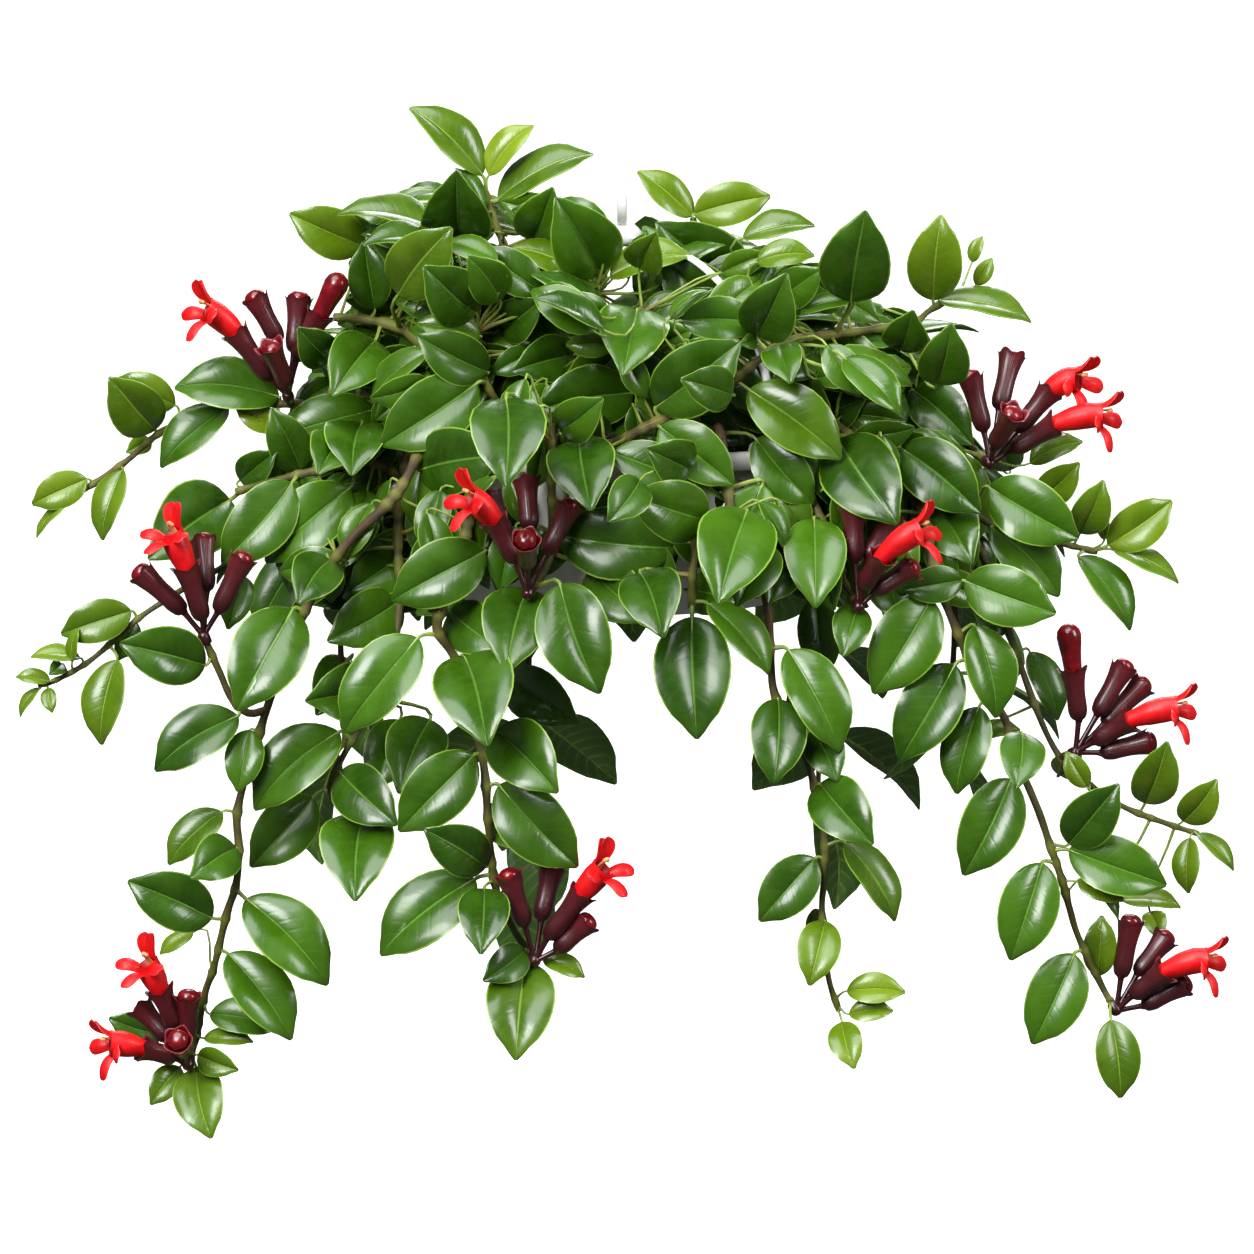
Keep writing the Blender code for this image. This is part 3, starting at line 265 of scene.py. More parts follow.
def tint(tree, mask, share, skin, over):
    """Lay a colour over the skin where the mask is 1, at most by the share."""
    return blend_colours(tree, math_node(tree, "MULTIPLY", mask, share), skin, over)


def stored(tree, name):
    """A value that is stored at the points of the mesh."""
    return add_node(tree, "ShaderNodeAttribute", {"attribute_name": name}).outputs["Fac"]


def own_place(tree):
    """The piece's own coordinates in metres, from the top of the ring's bore."""
    return add_node(tree, "ShaderNodeTexCoord").outputs["Object"]


def colour(red, green, blue):
    """A colour given as it looks on a screen, from 0 to 255, turned into light."""
    share = np.array([red, green, blue]) / 255
    return (*np.where(share < 0.04045, share / 12.92, ((share + 0.055) / 1.055) ** 2.4).tolist(), 1.0)


print("a screen grey of 128 is", round(colour(128, 128, 128)[0], 3), "of the light")

# %% [markdown]
# ## Two effects that several materials share
# Living skin is never one even colour: it has cloudy patches and a fine grain. The first group
# gives the patches and the grain as two numbers. The second group gives fine lines along a stored
# direction, for bark and petals. Each material sets its own scale and adds its own colours.

# %% Shared node groups
def new_group(name, inputs, outputs):
    """An empty group with number inputs and outputs, and its two end nodes."""
    group = bpy.data.node_groups.new(name, "ShaderNodeTree")
    for key, value in inputs.items():
        socket = group.interface.new_socket(key, in_out="INPUT", socket_type="NodeSocketFloat")
        socket.default_value = value
    for key in outputs:
        group.interface.new_socket(key, in_out="OUTPUT", socket_type="NodeSocketFloat")
    return group, group.nodes.new("NodeGroupInput"), group.nodes.new("NodeGroupOutput")


def make_cloud_group():
    """Patches and grain from two noises on the piece's own coordinates."""
    inputs = {"Patch Scale": 40.0, "Grain Scale": 900.0}
    group, start, end = new_group("clouds", inputs, ["Patch", "Grain"])
    place = own_place(group)
    patch = add_node(group, "ShaderNodeTexNoise", Vector=place, Scale=start.outputs[0], Detail=3.0)
    grain = add_node(group, "ShaderNodeTexNoise", Vector=place, Scale=start.outputs[1], Detail=2.0)
    group.links.new(soft_step(group, patch.outputs["Fac"], 0.3, 0.7), end.inputs["Patch"])
    group.links.new(grain.outputs["Fac"], end.inputs["Grain"])
    return group


def make_line_group():
    """Fine lines: a wave over a stored number, made uneven by noise."""
    inputs = {"Position": 0.0, "Count": 10.0, "Unevenness": 0.3}
    group, start, end = new_group("fine_lines", inputs, ["Line"])
    place = own_place(group)
    noise = add_node(group, "ShaderNodeTexNoise", Vector=place, Scale=260.0, Detail=2.0)
    shift = math_node(group, "MULTIPLY", noise.outputs["Fac"], start.outputs["Unevenness"])
    run = math_node(group, "MULTIPLY", start.outputs["Position"], start.outputs["Count"])
    wave = math_node(group, "PINGPONG", math_node(group, "ADD", run, shift), 0.5)
    group.links.new(soft_step(group, wave, 0.0, 0.22, 1.0, 0.0), end.inputs["Line"])
    return group


CLOUDS = make_cloud_group()
FINE_LINES = make_line_group()


def clouds(tree, patch_scale, grain_scale):
    """Patch and grain of the shared group at this material's scales."""
    made = add_node(tree, "ShaderNodeGroup", {"node_tree": CLOUDS}, Patch_Scale=patch_scale,
                    Grain_Scale=grain_scale)
    return made.outputs["Patch"], made.outputs["Grain"]


def fine_lines(tree, position, count, unevenness):
    """Lines of the shared group over a stored position."""
    made = add_node(tree, "ShaderNodeGroup", {"node_tree": FINE_LINES}, Position=position,
                    Count=count, Unevenness=unevenness)
    return made.outputs["Line"]


print("shared groups:", CLOUDS.name, FINE_LINES.name)

# %% A material with its colour, roughness and bump
def new_material(name, **constants):
    """A material with one Principled shader; constants are set on the shader itself."""
    made = bpy.data.materials.new(name)
    made.use_nodes = True
    shader = made.node_tree.nodes["Principled BSDF"]
    for key, value in constants.items():
        shader.inputs[key.replace("_", " ")].default_value = value
    return made, made.node_tree, shader


def finish_material(tree, shader, base, rough, height, relief):
    """Join colour, roughness and a bump of the given height in metres."""
    bump = add_node(tree, "ShaderNodeBump", Height=height, Strength=1.0, Distance=relief)
    join(tree, shader.inputs["Base Color"], base)
    join(tree, shader.inputs["Roughness"], rough)
    tree.links.new(bump.outputs["Normal"], shader.inputs["Normal"])


# %% [markdown]
# ## Leaf skin
# A grown leaf is dark and waxy, with a paler midrib sunk in a groove, faint curved side veins, a
# thin yellow-green margin that is partly its own paler edge and partly a painted highlight where
# the rolled edge catches the light, and a dull pale underside. A young leaf is lime green. The mesh
# stores how far a point lies along and across the blade, its age, its own tone and whether it is
# below.

# %% Leaf material
def make_leaf_material():
    """Greens from age and tone, veins from the place on the blade."""
    made, tree, shader = new_material("leaf_skin", Specular_IOR_Level=0.45, Coat_Weight=0.25,
                                      Coat_Roughness=0.17)
    along, across = stored(tree, "along"), math_node(tree, "ABSOLUTE", stored(tree, "across"))
    age, tone, under = stored(tree, "age"), stored(tree, "tone"), stored(tree, "under")
    patch, grain = clouds(tree, 70.0, 1500.0)
    run = scaled(tree, across, -0.2, along)
    vein = math_node(tree, "MULTIPLY", fine_lines(tree, run, 9.0, 0.12),
                     soft_step(tree, across, 0.0, 0.9, 0.9, 0.25))
    rib = soft_step(tree, across, 0.018, 0.06, 1.0, 0.0)
    # Margin mask: the leaf's own paler edge together with a painted highlight of the rolled edge.
    rim = soft_step(tree, across, 0.94, 0.975)
    shade = scaled(tree, patch, 0.45, math_node(tree, "MULTIPLY", tone, 0.75))
    grown = blend_colours(tree, shade, colour(26, 60, 4), colour(58, 102, 11))
    fresh = blend_colours(tree, shade, colour(80, 116, 8), colour(126, 150, 20))
    skin = blend_colours(tree, age, fresh, grown)
    pale = blend_colours(tree, age, colour(176, 200, 70), colour(92, 140, 48))
    skin = tint(tree, vein, 0.06, skin, pale)
    skin = tint(tree, rib, 0.7, skin, pale)
    # Margin tint: partly the leaf's own paler green, partly a painted highlight of the rolled edge.
    skin = tint(tree, rim, 0.75, skin, colour(140, 176, 62))
    below = blend_colours(tree, math_node(tree, "MAXIMUM", vein, rib), colour(82, 124, 44),
                          colour(130, 164, 76))
    skin = tint(tree, under, 0.85, skin, below)
    rough = scaled(tree, patch, 0.14, 0.2)
    rough = scaled(tree, grain, 0.06, rough)
    rough = scaled(tree, under, 0.25, rough)
    dent = scaled(tree, vein, -0.16, math_node(tree, "MULTIPLY", rib, -1.0))
    height = scaled(tree, grain, 0.05, dent)
    finish_material(tree, shader, skin, rough, height, 0.25 * MM)
    return made


LEAF_SKIN = make_leaf_material()
print("leaf material nodes:", len(LEAF_SKIN.node_tree.nodes))

# %% [markdown]
# ## Stem and leaf stalk
# Old stems are grey-brown with fine lengthwise cracks; towards the tip they turn green. At every
# pair of leaves the stem swells into a yellow-green joint. The stalks are yellow-green as well and
# reddish where they leave the stem.

# %% Stem materials
def make_stem_material():
    """Bark where young is 0, green skin where it is 1, a pale joint at each leaf pair."""
    made, tree, shader = new_material("stem_bark", Specular_IOR_Level=0.4)
    young, joint, around = stored(tree, "young"), stored(tree, "joint"), stored(tree, "around")
    patch, grain = clouds(tree, 160.0, 1800.0)
    crack = fine_lines(tree, around, 9.0, 0.9)
    bark = blend_colours(tree, patch, colour(58, 42, 26), colour(88, 68, 42))
    bark = tint(tree, crack, 0.45, bark, colour(44, 30, 20))
    green = blend_colours(tree, patch, colour(72, 84, 28), colour(98, 92, 38))
    skin = blend_colours(tree, young, bark, green)
    skin = tint(tree, joint, 0.7, skin, colour(122, 126, 48))
    rough = scaled(tree, grain, 0.2, 0.42)
    height = math_node(tree, "SUBTRACT", math_node(tree, "MULTIPLY", grain, 0.5), crack)
    finish_material(tree, shader, skin, rough, height, 0.12 * MM)
    return made


def make_stalk_material():
    """Yellow-green, red-brown at the stem, paler along the blade's underside."""
    made, tree, shader = new_material("leaf_stalk", Specular_IOR_Level=0.5)
    along, age = stored(tree, "along"), stored(tree, "age")
    patch, grain = clouds(tree, 220.0, 1600.0)
    green = blend_colours(tree, patch, colour(118, 146, 54), colour(150, 172, 78))
    foot = soft_step(tree, along, 0.0, 0.22, 0.7, 0.0)
    skin = tint(tree, foot, age, green, colour(122, 66, 40))
    rough = scaled(tree, grain, 0.15, 0.34)
    finish_material(tree, shader, skin, rough, grain, 0.05 * MM)
    return made


STEM_BARK = make_stem_material()
LEAF_STALK = make_stalk_material()
print("stem materials:", STEM_BARK.name, LEAF_STALK.name)

# %% [markdown]
# ## Calyx, bud and corolla
# The calyx is a satin maroon cup with painted shade that darkens it to nearly black at its foot,
# a thin pale edge at its mouth and a dark red inside. The bud that fills it is glossy dark red. The
# corolla is scarlet with darker fine lines along its lobes and a faint down; the stamens in its
# throat are cream.

# %% Flower materials
def make_calyx_material():
    """Maroon with painted shade that darkens it towards the foot, red inside, pale on the lip."""
    made, tree, shader = new_material("calyx_skin", Specular_IOR_Level=0.5, Coat_Weight=0.25,
                                      Coat_Roughness=0.2)
    along, inside, lip = stored(tree, "along"), stored(tree, "inside"), stored(tree, "lip")
    around = stored(tree, "around")
    patch, grain = clouds(tree, 190.0, 1700.0)
    line = fine_lines(tree, around, 20.0, 0.5)
    # Painted shade: the shadowed maroon at the foot blends into the lit maroon towards the mouth.
    skin = blend_colours(tree, along, colour(50, 10, 15), colour(92, 24, 30))
    skin = tint(tree, patch, 0.5, skin, colour(56, 12, 20))
    skin = tint(tree, line, 0.18, skin, colour(96, 34, 40))
    skin = blend_colours(tree, inside, skin, colour(104, 10, 20))
    skin = tint(tree, lip, 0.45, skin, colour(170, 84, 90))
    rough = scaled(tree, grain, 0.08, 0.26)
    height = scaled(tree, line, -0.6, math_node(tree, "MULTIPLY", grain, 0.12))
    finish_material(tree, shader, skin, rough, height, 0.06 * MM)
    return made


def make_petal_material():
    """Scarlet with darker lines, deeper in the throat, lighter at the lobe edges."""
    made, tree, shader = new_material("petal_skin", Specular_IOR_Level=0.35, Coat_Weight=0.1,
                                      Coat_Roughness=0.2)
    along, across, inside = stored(tree, "along"), stored(tree, "across"), stored(tree, "inside")
    patch, grain = clouds(tree, 230.0, 2200.0)
    line = math_node(tree, "MULTIPLY", fine_lines(tree, across, 4.5, 0.25),
                     soft_step(tree, along, 0.15, 0.6))
    skin = blend_colours(tree, patch, colour(214, 6, 16), colour(236, 20, 24))
    skin = tint(tree, line, 0.5, skin, colour(150, 2, 12))
    skin = blend_colours(tree, inside, skin, colour(160, 6, 16))
    edge = soft_step(tree, math_node(tree, "ABSOLUTE", across), 0.8, 1.0, 0.0, 0.5)
    skin = blend_colours(tree, edge, skin, colour(250, 66, 58))
    rough = scaled(tree, grain, 0.2, 0.36)
    height = scaled(tree, line, -0.8, grain)
    finish_material(tree, shader, skin, rough, height, 0.08 * MM)
    return made


def make_skin_material(name, dark, light, patch_scale, rough, relief, coat):
    """A plain skin of two close colours with a fine grain: buds, stamens, pot and hanger."""
    made, tree, shader = new_material(name, Specular_IOR_Level=0.5, Coat_Weight=coat,
                                      Coat_Roughness=0.12)
    patch, grain = clouds(tree, patch_scale, patch_scale * 9)
    skin = blend_colours(tree, patch, colour(*dark), colour(*light))
    uneven = scaled(tree, patch, 0.08, math_node(tree, "MULTIPLY", grain, 0.1))
    finish_material(tree, shader, skin, math_node(tree, "ADD", uneven, rough), grain, relief)
    return made


CALYX_MAROON = make_calyx_material()
PETAL_SCARLET = make_petal_material()
BUD_RED = make_skin_material("bud_red", (92, 4, 12), (128, 8, 20), 260.0, 0.16, 0.03 * MM, 0.3)
STAMEN_CREAM = make_skin_material("stamen_cream", (230, 140, 90), (244, 196, 130), 400.0, 0.4,
                                  0.04 * MM, 0.0)
print("flower materials:", CALYX_MAROON.name, PETAL_SCARLET.name, BUD_RED.name, STAMEN_CREAM.name)

# %% [markdown]
# ## Pot, hanger and soil
# The bowl is moulded white plastic with a slight orange-peel skin, and old water leaves a faint
# chalky band under its rim. The hanger is the same plastic, a little glossier. Soil is a dark
# crumbly mix with paler bits of perlite.

# %% Pot and soil materials
def make_pot_material():
    """Warm white plastic with a chalky band under the rim."""
    made, tree, shader = new_material("pot_plastic", Specular_IOR_Level=0.5)
    patch, grain = clouds(tree, 30.0, 700.0)
    place = own_place(tree)
    height = add_node(tree, "ShaderNodeSeparateXYZ", Vector=place).outputs["Z"]
    band = soft_step(tree, height, 0.040 - HANGING_POINT, 0.056 - HANGING_POINT)
    skin = blend_colours(tree, patch, colour(226, 227, 222), colour(240, 240, 236))
    chalk = math_node(tree, "MULTIPLY", math_node(tree, "MULTIPLY", band, patch), 0.5)
    skin = blend_colours(tree, chalk, skin, colour(212, 206, 190))
    rough = scaled(tree, chalk, 0.5, scaled(tree, grain, 0.12, 0.28))
    finish_material(tree, shader, skin, rough, grain, 0.05 * MM)
    return made


def make_soil_material():
    """Dark crumbs of two sizes with scattered pale grains."""
    made, tree, shader = new_material("soil_crumbs", Specular_IOR_Level=0.3)
    patch, grain = clouds(tree, 260.0, 900.0)
    place = own_place(tree)
    cells = add_node(tree, "ShaderNodeTexVoronoi", Vector=place, Scale=300.0)
    perlite = soft_step(tree, cells.outputs["Distance"], 0.1, 0.16, 1.0, 0.0)
    skin = blend_colours(tree, patch, colour(34, 24, 17), colour(78, 58, 40))
    skin = tint(tree, perlite, 0.7, skin, colour(190, 182, 166))
    height = math_node(tree, "ADD", cells.outputs["Distance"], grain)
    rough = scaled(tree, grain, 0.1, 0.85)
    finish_material(tree, shader, skin, rough, height, 1.2 * MM)
    return made


POT_WHITE = make_pot_material()
HANGER_WHITE = make_skin_material("hanger_plastic", (228, 229, 226), (242, 242, 240), 60.0, 0.22,
                                  0.02 * MM, 0.1)
SOIL_BROWN = make_soil_material()
print("made materials:", POT_WHITE.name, HANGER_WHITE.name, SOIL_BROWN.name)

# %% Floor
FLOOR_HALF = 150.0
FLOOR_GLOW = 0.6


def lay_floor(half):
    """A wide pale floor with a faint unevenness, far under the plant."""
    mesh = bpy.data.meshes.new("floor")
    corners = np.array([(-1, -1), (1, -1), (1, 1), (-1, 1)]) * half
    mesh.from_pydata([(x, y, FLOOR_LEVEL) for x, y in corners.tolist()], [], [(0, 1, 2, 3)])
    floor = put_in_scene("floor", mesh)
    made, tree, shader = new_material("floor_pale", Specular_IOR_Level=0.1)
    patch, grain = clouds(tree, 3.0, 60.0)
    skin = blend_colours(tree, patch, colour(250, 250, 249), colour(253, 253, 253))
    rough = scaled(tree, grain, 0.1, 0.8)
    finish_material(tree, shader, skin, rough, grain, 0.1 * MM)
    shader.inputs["Emission Color"].default_value = (1.0, 1.0, 1.0, 1)
    shader.inputs["Emission Strength"].default_value = FLOOR_GLOW
    mesh.materials.append(made)
    floor.visible_diffuse = floor.visible_glossy = False
    return floor


print("floor at", round(lay_floor(FLOOR_HALF).data.vertices[0].co.z, 2), "m")

# %% [markdown]
# ## Stems
# A stem is a smooth curve through a few points: the first ones stand on the soil, the others were
# read from the photograph as a pixel and a depth. A curve through points, cut into even steps, is
# easier to steer than one drawn by its handles. The far side has made-up stems.

# %% Stem routes
# Stems: points above the soil in millimetres, then points seen as (x, y, depth in mm).
VINES = {
    "vine_sprig_top_left": dict(
        soil=[(-25, -16, 50.3), (-27, -17, 80)],
        seen=[(548, 330, -35), (534, 298, -34), (514, 271, -32), (504, 245, -30),
              (493, 217, -28), (485, 190, -26)],
        size=(2.0, 1.3)),
    "vine_sprig_top_centre": dict(
        soil=[(-14, -36, 50.3), (-15, -37, 75)],
        seen=[(583, 355, -50), (589, 318, -49), (598, 288, -47)],
        size=(2.0, 1.5)),
    "vine_sprig_top_right": dict(
        soil=[(24, 2, 50.3), (25, 2, 80)],
        seen=[(700, 300, -8), (697, 250, -7), (693, 218, -6)],
        size=(2.0, 1.3)),
    "vine_arch_right": dict(
        soil=[(-4, -61, 50.3), (-6, -64, 60)],
        seen=[(604, 447, -80), (626, 438, -85), (648, 426, -87), (713, 397, -88),
              (760, 359, -86), (790, 341, -80), (839, 334, -68), (881, 328, -58),
              (915, 322, -50), (929, 311, -46), (965, 289, -40)],
        size=(2.2, 1.2)),
    "vine_arch_left": dict(
        soil=[(-35, -40, 50.3), (-42, -40, 70)],
        seen=[(472, 392, -52), (441, 364, -51), (419, 342, -49), (402, 329, -47),
              (370, 320, -44), (334, 317, -40)],
        size=(2.2, 1.6)),
    "vine_reach_left": dict(
        soil=[(-50, -4, 50.3), (-62, -9, 76)],
        seen=[(390, 396, -36), (340, 402, -44), (289, 404, -46), (236, 402, -43),
              (198, 416, -41), (161, 432, -39), (129, 459, -37), (104, 477, -36),
              (72, 497, -35)],
        spurs=[[(291, 405, -46), (289, 399, -51)]],
        size=(2.1, 1.2)),
    "vine_reach_right": dict(
        soil=[(62, -25, 50.3), (76, -31, 78)],
        seen=[(880, 466, -60), (915, 474, -62), (950, 489, -60), (985, 521, -57),
              (1020, 533, -54), (1052, 541, -51), (1097, 552, -47)],
        size=(2.1, 1.2)),
    "vine_shoulder_right": dict(
        soil=[(54, 4, 50.3), (64, 2, 78)],
        seen=[(850, 400, -35), (900, 405, -38), (945, 425, -42), (974, 450, -47), (985, 459, -55)],
        size=(2.0, 1.5)),
    "vine_trail_right": dict(
        soil=[(58, -43, 50.3), (72, -52, 74)],
        seen=[(915, 500, -76), (932, 560, -84), (944, 599, -85), (962, 643, -84),
              (979, 681, -82), (1005, 719, -80), (1013, 753, -78), (1028, 786, -76),
              (1040, 815, -75), (1050, 845, -74), (1062, 880, -72), (1070, 910, -70),
              (1078, 936, -66), (1096, 974, -61), (1106, 994, -60), (1112, 1003, -66)],
        size=(2.2, 1.4)),
    "vine_fork_right": dict(
        soil=[(64, 12, 50.3), (82, 8, 74)],
        seen=[(935, 470, -15), (985, 560, -22), (1015, 650, -30), (1045, 730, -40),
              (1068, 768, -45), (1087, 783, -46), (1124, 807, -46), (1171, 825, -46),
              (1199, 834, -46)],
        spurs=[[(1060, 758, -43), (1071, 754, -50)]],
        size=(2.1, 1.1)),
    "vine_trail_centre_right": dict(
        soil=[(32, -58, 50.3), (34, -69, 65), (36, -83, 71)],
        seen=[(735, 535, -102), (758, 580, -105), (768, 610, -104),
              (771, 662, -102), (776, 698, -101), (805, 756, -98), (815, 790, -97),
              (824, 838, -96), (824, 879, -95), (822, 912, -94), (828, 975, -92),
              (839, 1011, -90)],
        size=(2.2, 1.2)),
    "vine_drop_centre": dict(
        soil=[(16, -62, 50.3), (19, -72, 65), (22, -88, 71)],
        seen=[(695, 540, -104), (692, 575, -105), (692, 608, -104)],
        size=(2.0, 1.5)),
    "vine_trail_centre_left": dict(
        soil=[(-38, -55, 50.3), (-43, -66, 66), (-50, -78, 71)],
        seen=[(470, 510, -96), (461, 560, -100), (447, 595, -102), (437, 628, -101),
              (455, 658, -99), (470, 700, -97), (479, 740, -96), (485, 775, -95),
              (488, 821, -94), (492, 865, -90), (498, 895, -84), (514, 930, -80),
              (526, 948, -83), (531, 955, -90)],
        size=(2.3, 1.5)),
    "vine_trail_left": dict(
        soil=[(-55, -43, 50.3), (-67, -56, 73)],
        seen=[(398, 492, -84), (351, 539, -84), (322, 579, -82), (305, 611, -81),
              (287, 654, -80), (268, 705, -79), (255, 748, -77), (246, 775, -76),
              (237, 815, -74), (239, 850, -73), (236, 885, -72), (227, 913, -70),
              (214, 967, -65), (205, 993, -58), (197, 1035, -51), (193, 1050, -54), (190, 1058, -61)],
        spurs=[[(266, 710, -79), (248, 713, -81), (231, 697, -83), (220, 673, -84),
                (207, 644, -86)]],
        size=(2.3, 1.4)),
    "vine_drop_left": dict(
        soil=[(-60, -30, 50.3), (-74, -40, 74)],
        seen=[(402, 480, -56), (398, 540, -62), (400, 600, -66), (392, 660, -70),
              (375, 708, -72), (351, 742, -72), (330, 788, -70), (345, 812, -68)],
        spurs=[[(402, 478, -56), (370, 462, -60), (320, 470, -62), (262, 484, -60),
                (236, 492, -58)]],
        size=(2.1, 1.3)),
    "vine_reach_low_left": dict(
        soil=[(-68, -12, 50.3), (-80, -20, 72)],
        seen=[(350, 485, -34), (290, 530, -38), (225, 566, -44), (190, 585, -47),
              (161, 603, -49), (134, 622, -50), (91, 660, -50), (54, 681, -50),
              (38, 685, -50)],
        size=(2.1, 1.0)),
    "vine_flower_centre": dict(
        soil=[(-21, -62, 50.3), (-24, -72, 66), (-26, -88, 71)],
        seen=[(552, 545, -93), (543, 575, -94), (536, 585, -98), (531, 588, -104)],
        size=(2.0, 1.5)),
    "vine_flower_right": dict(
        soil=[(45, -49, 50.3), (57, -57, 72)],
        seen=[(815, 505, -84), (832, 550, -84), (845, 585, -84), (852, 597, -89), (856, 602, -96)],
        size=(2.0, 1.5)),
    "vine_crown_left": dict(
        soil=[(-42, -14, 50.3), (-50, -16, 80)],
        seen=[(462, 320, -34), (452, 290, -34), (447, 262, -34)],
        size=(2.0, 1.3)),
    "vine_crown_front": dict(
        soil=[(-22, -24, 50.3), (-28, -34, 66)],
        seen=[(508, 412, -62), (486, 384, -68), (478, 350, -68), (476, 326, -66)],
        size=(2.0, 1.3)),
    "vine_crown_centre": dict(
        soil=[(8, -26, 50.3), (9, -34, 70)],
        seen=[(650, 400, -60), (648, 350, -64), (641, 306, -66)],
        size=(2.0, 1.3)),
    "vine_crown_right": dict(
        soil=[(38, -14, 50.3), (42, -14, 75)],
        seen=[(738, 380, -34), (742, 330, -34), (746, 285, -33)],
        size=(2.0, 1.3)),
}
# The far side, which no photograph shows: azimuth from +X, reach and fall in millimetres.
BACK_VINES = {
    "vine_back_1": (14, 128, -60, 46),
    "vine_back_2": (36, 112, 20, 50),
    "vine_back_3": (54, 132, -96, 52),
    "vine_back_4": (88, 118, 12, 48),
    "vine_back_5": (106, 134, -130, 54),
    "vine_back_6": (128, 112, 24, 44),
    "vine_back_7": (146, 130, -70, 52),
    "vine_back_8": (164, 116, 16, 46),
}
CROWN_BACK = "vine_crown_back"
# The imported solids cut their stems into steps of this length, the finished stems into finer ones.
STEM_STEP = 19 * MM
FINE_STEP = 2.4 * MM
# The height of the soil over the pot's foot, in millimetres.
SOIL_TOP = 50.3


def run_along(path):
    """Distance along a path at each of its points."""
    return np.r_[0, np.cumsum(np.linalg.norm(np.diff(path, axis=0), axis=1))]


def even_points(path, step, fewest=3):
    """Points at even steps along the straight pieces of a path."""
    run = run_along(path)
    places = np.linspace(0, run[-1], max(fewest, round(run[-1] / step) + 1))
    return np.stack([np.interp(places, run, path[:, k]) for k in range(3)], axis=1)


def smooth_path(points, step):
    """A curve through the points, cut into even steps.

    Between b and c it is half of 2b + (c-a) t + (2a-5b+4c-d) t^2 + (3b-a-3c+d) t^3.
    """
    p = np.array(points, float)
    p = np.vstack([2 * p[0] - p[1], p, 2 * p[-1] - p[-2]])
    fine = []
    for i in range(1, len(p) - 2):
        t = np.linspace(0, 1, 12, endpoint=False)[:, None]
        a, b, c, d = p[i - 1], p[i], p[i + 1], p[i + 2]
        fine.append(0.5 * (2 * b + (c - a) * t + (2 * a - 5 * b + 4 * c - d) * t ** 2
                           + (3 * b - a - 3 * c + d) * t ** 3))
    return even_points(np.vstack(fine + [p[-2][None]]), step, 2)


def first_side(axis):
    """A direction square to an axis, the same in every run."""
    side = np.array([0.31, 0.17, 0.93])
    if abs(unit(side) @ axis) > 0.95:
        side = np.array([0.9, 0.4, 0.1])
    return unit(side - axis * (side @ axis))


def frames_along(path, first=None):
    """Unit directions and two cross directions carried along the path without twist."""
    heading = np.gradient(path, axis=0)
    heading = np.array([unit(h) for h in heading])
    if first is not None:
        heading[0] = first
    across = [first_side(heading[0])]
    for h in heading[1:]:
        across.append(unit(across[-1] - h * (across[-1] @ h)))
    across = np.array(across)
    return heading, across, np.cross(heading, across)


def back_routes():
    """Routes for the stems of the far side, as points in metres."""
    routes = {}
    for name, (azimuth, reach, fall, start) in BACK_VINES.items():
        angle = math.radians(azimuth)
        out = np.array([math.cos(angle), math.sin(angle), 0.0])
        radii = [start, start + 4, 74, 92, reach, reach + 4]
        heights = [SOIL_TOP, 62, 84, 86, 48, fall]
        points = [out * r + np.array([0, 0, h]) for r, h in zip(radii, heights)]
        if fall < -40:
            points.insert(5, out * (reach + 6) + np.array([0, 0, 0.5 * (48 + fall)]))
        routes[name] = np.array(points) * MM
    routes[CROWN_BACK] = np.array([(0, 34, SOIL_TOP), (0, 35, 64), (-6, 42, 80), (-10, 50, 96),
                                   (-14, 58, 108)]) * MM
    return routes


def all_stems(step):
    """Every stem as its name, its path and its radii; a side branch has its vine's name."""
    stems = []
    for name, vine in VINES.items():
        points = [np.array(p) * MM for p in vine["soil"]] + [at(*p) for p in vine["seen"]]
        path = smooth_path(points, step)
        thick, thin = vine["size"]
        stems.append((name, path, np.linspace(thick, thin, len(path)) * MM))
        for spur in vine.get("spurs", []):
            path = smooth_path([at(*p) for p in spur], min(step, 4 * MM) if len(spur) == 2 else step)
            stems.append((name, path, np.linspace(1.7, 1.5, len(path)) * MM))
    for name, points in back_routes().items():
        path = smooth_path(points, step)
        stems.append((name, path, np.linspace(2.1, 1.3, len(path)) * MM))
    return stems


def stem_samples(stems):
    """Rows of x, y, z, pixel x, pixel y, depth and the number of the vine."""
    return np.array([[*p, *seen_from(p), stem_names.index(name)] for name, path, _ in stems
                     for p in even_points(path, 3 * MM)[2:-1]])


coarse_stems = all_stems(STEM_STEP)
fine_stems = all_stems(FINE_STEP)
stem_names = [row[0] for row in coarse_stems]
samples = stem_samples(coarse_stems)
print("stems:", len(coarse_stems), "on", len(set(stem_names)), "vines")

# %% [markdown]
# ## Leaves of the photograph
# Every leaf that shows is a row: the pixel of its foot, the pixel of its tip and its width. A leaf
# seen short is turned towards or away from the viewer, and its true length follows from its width.

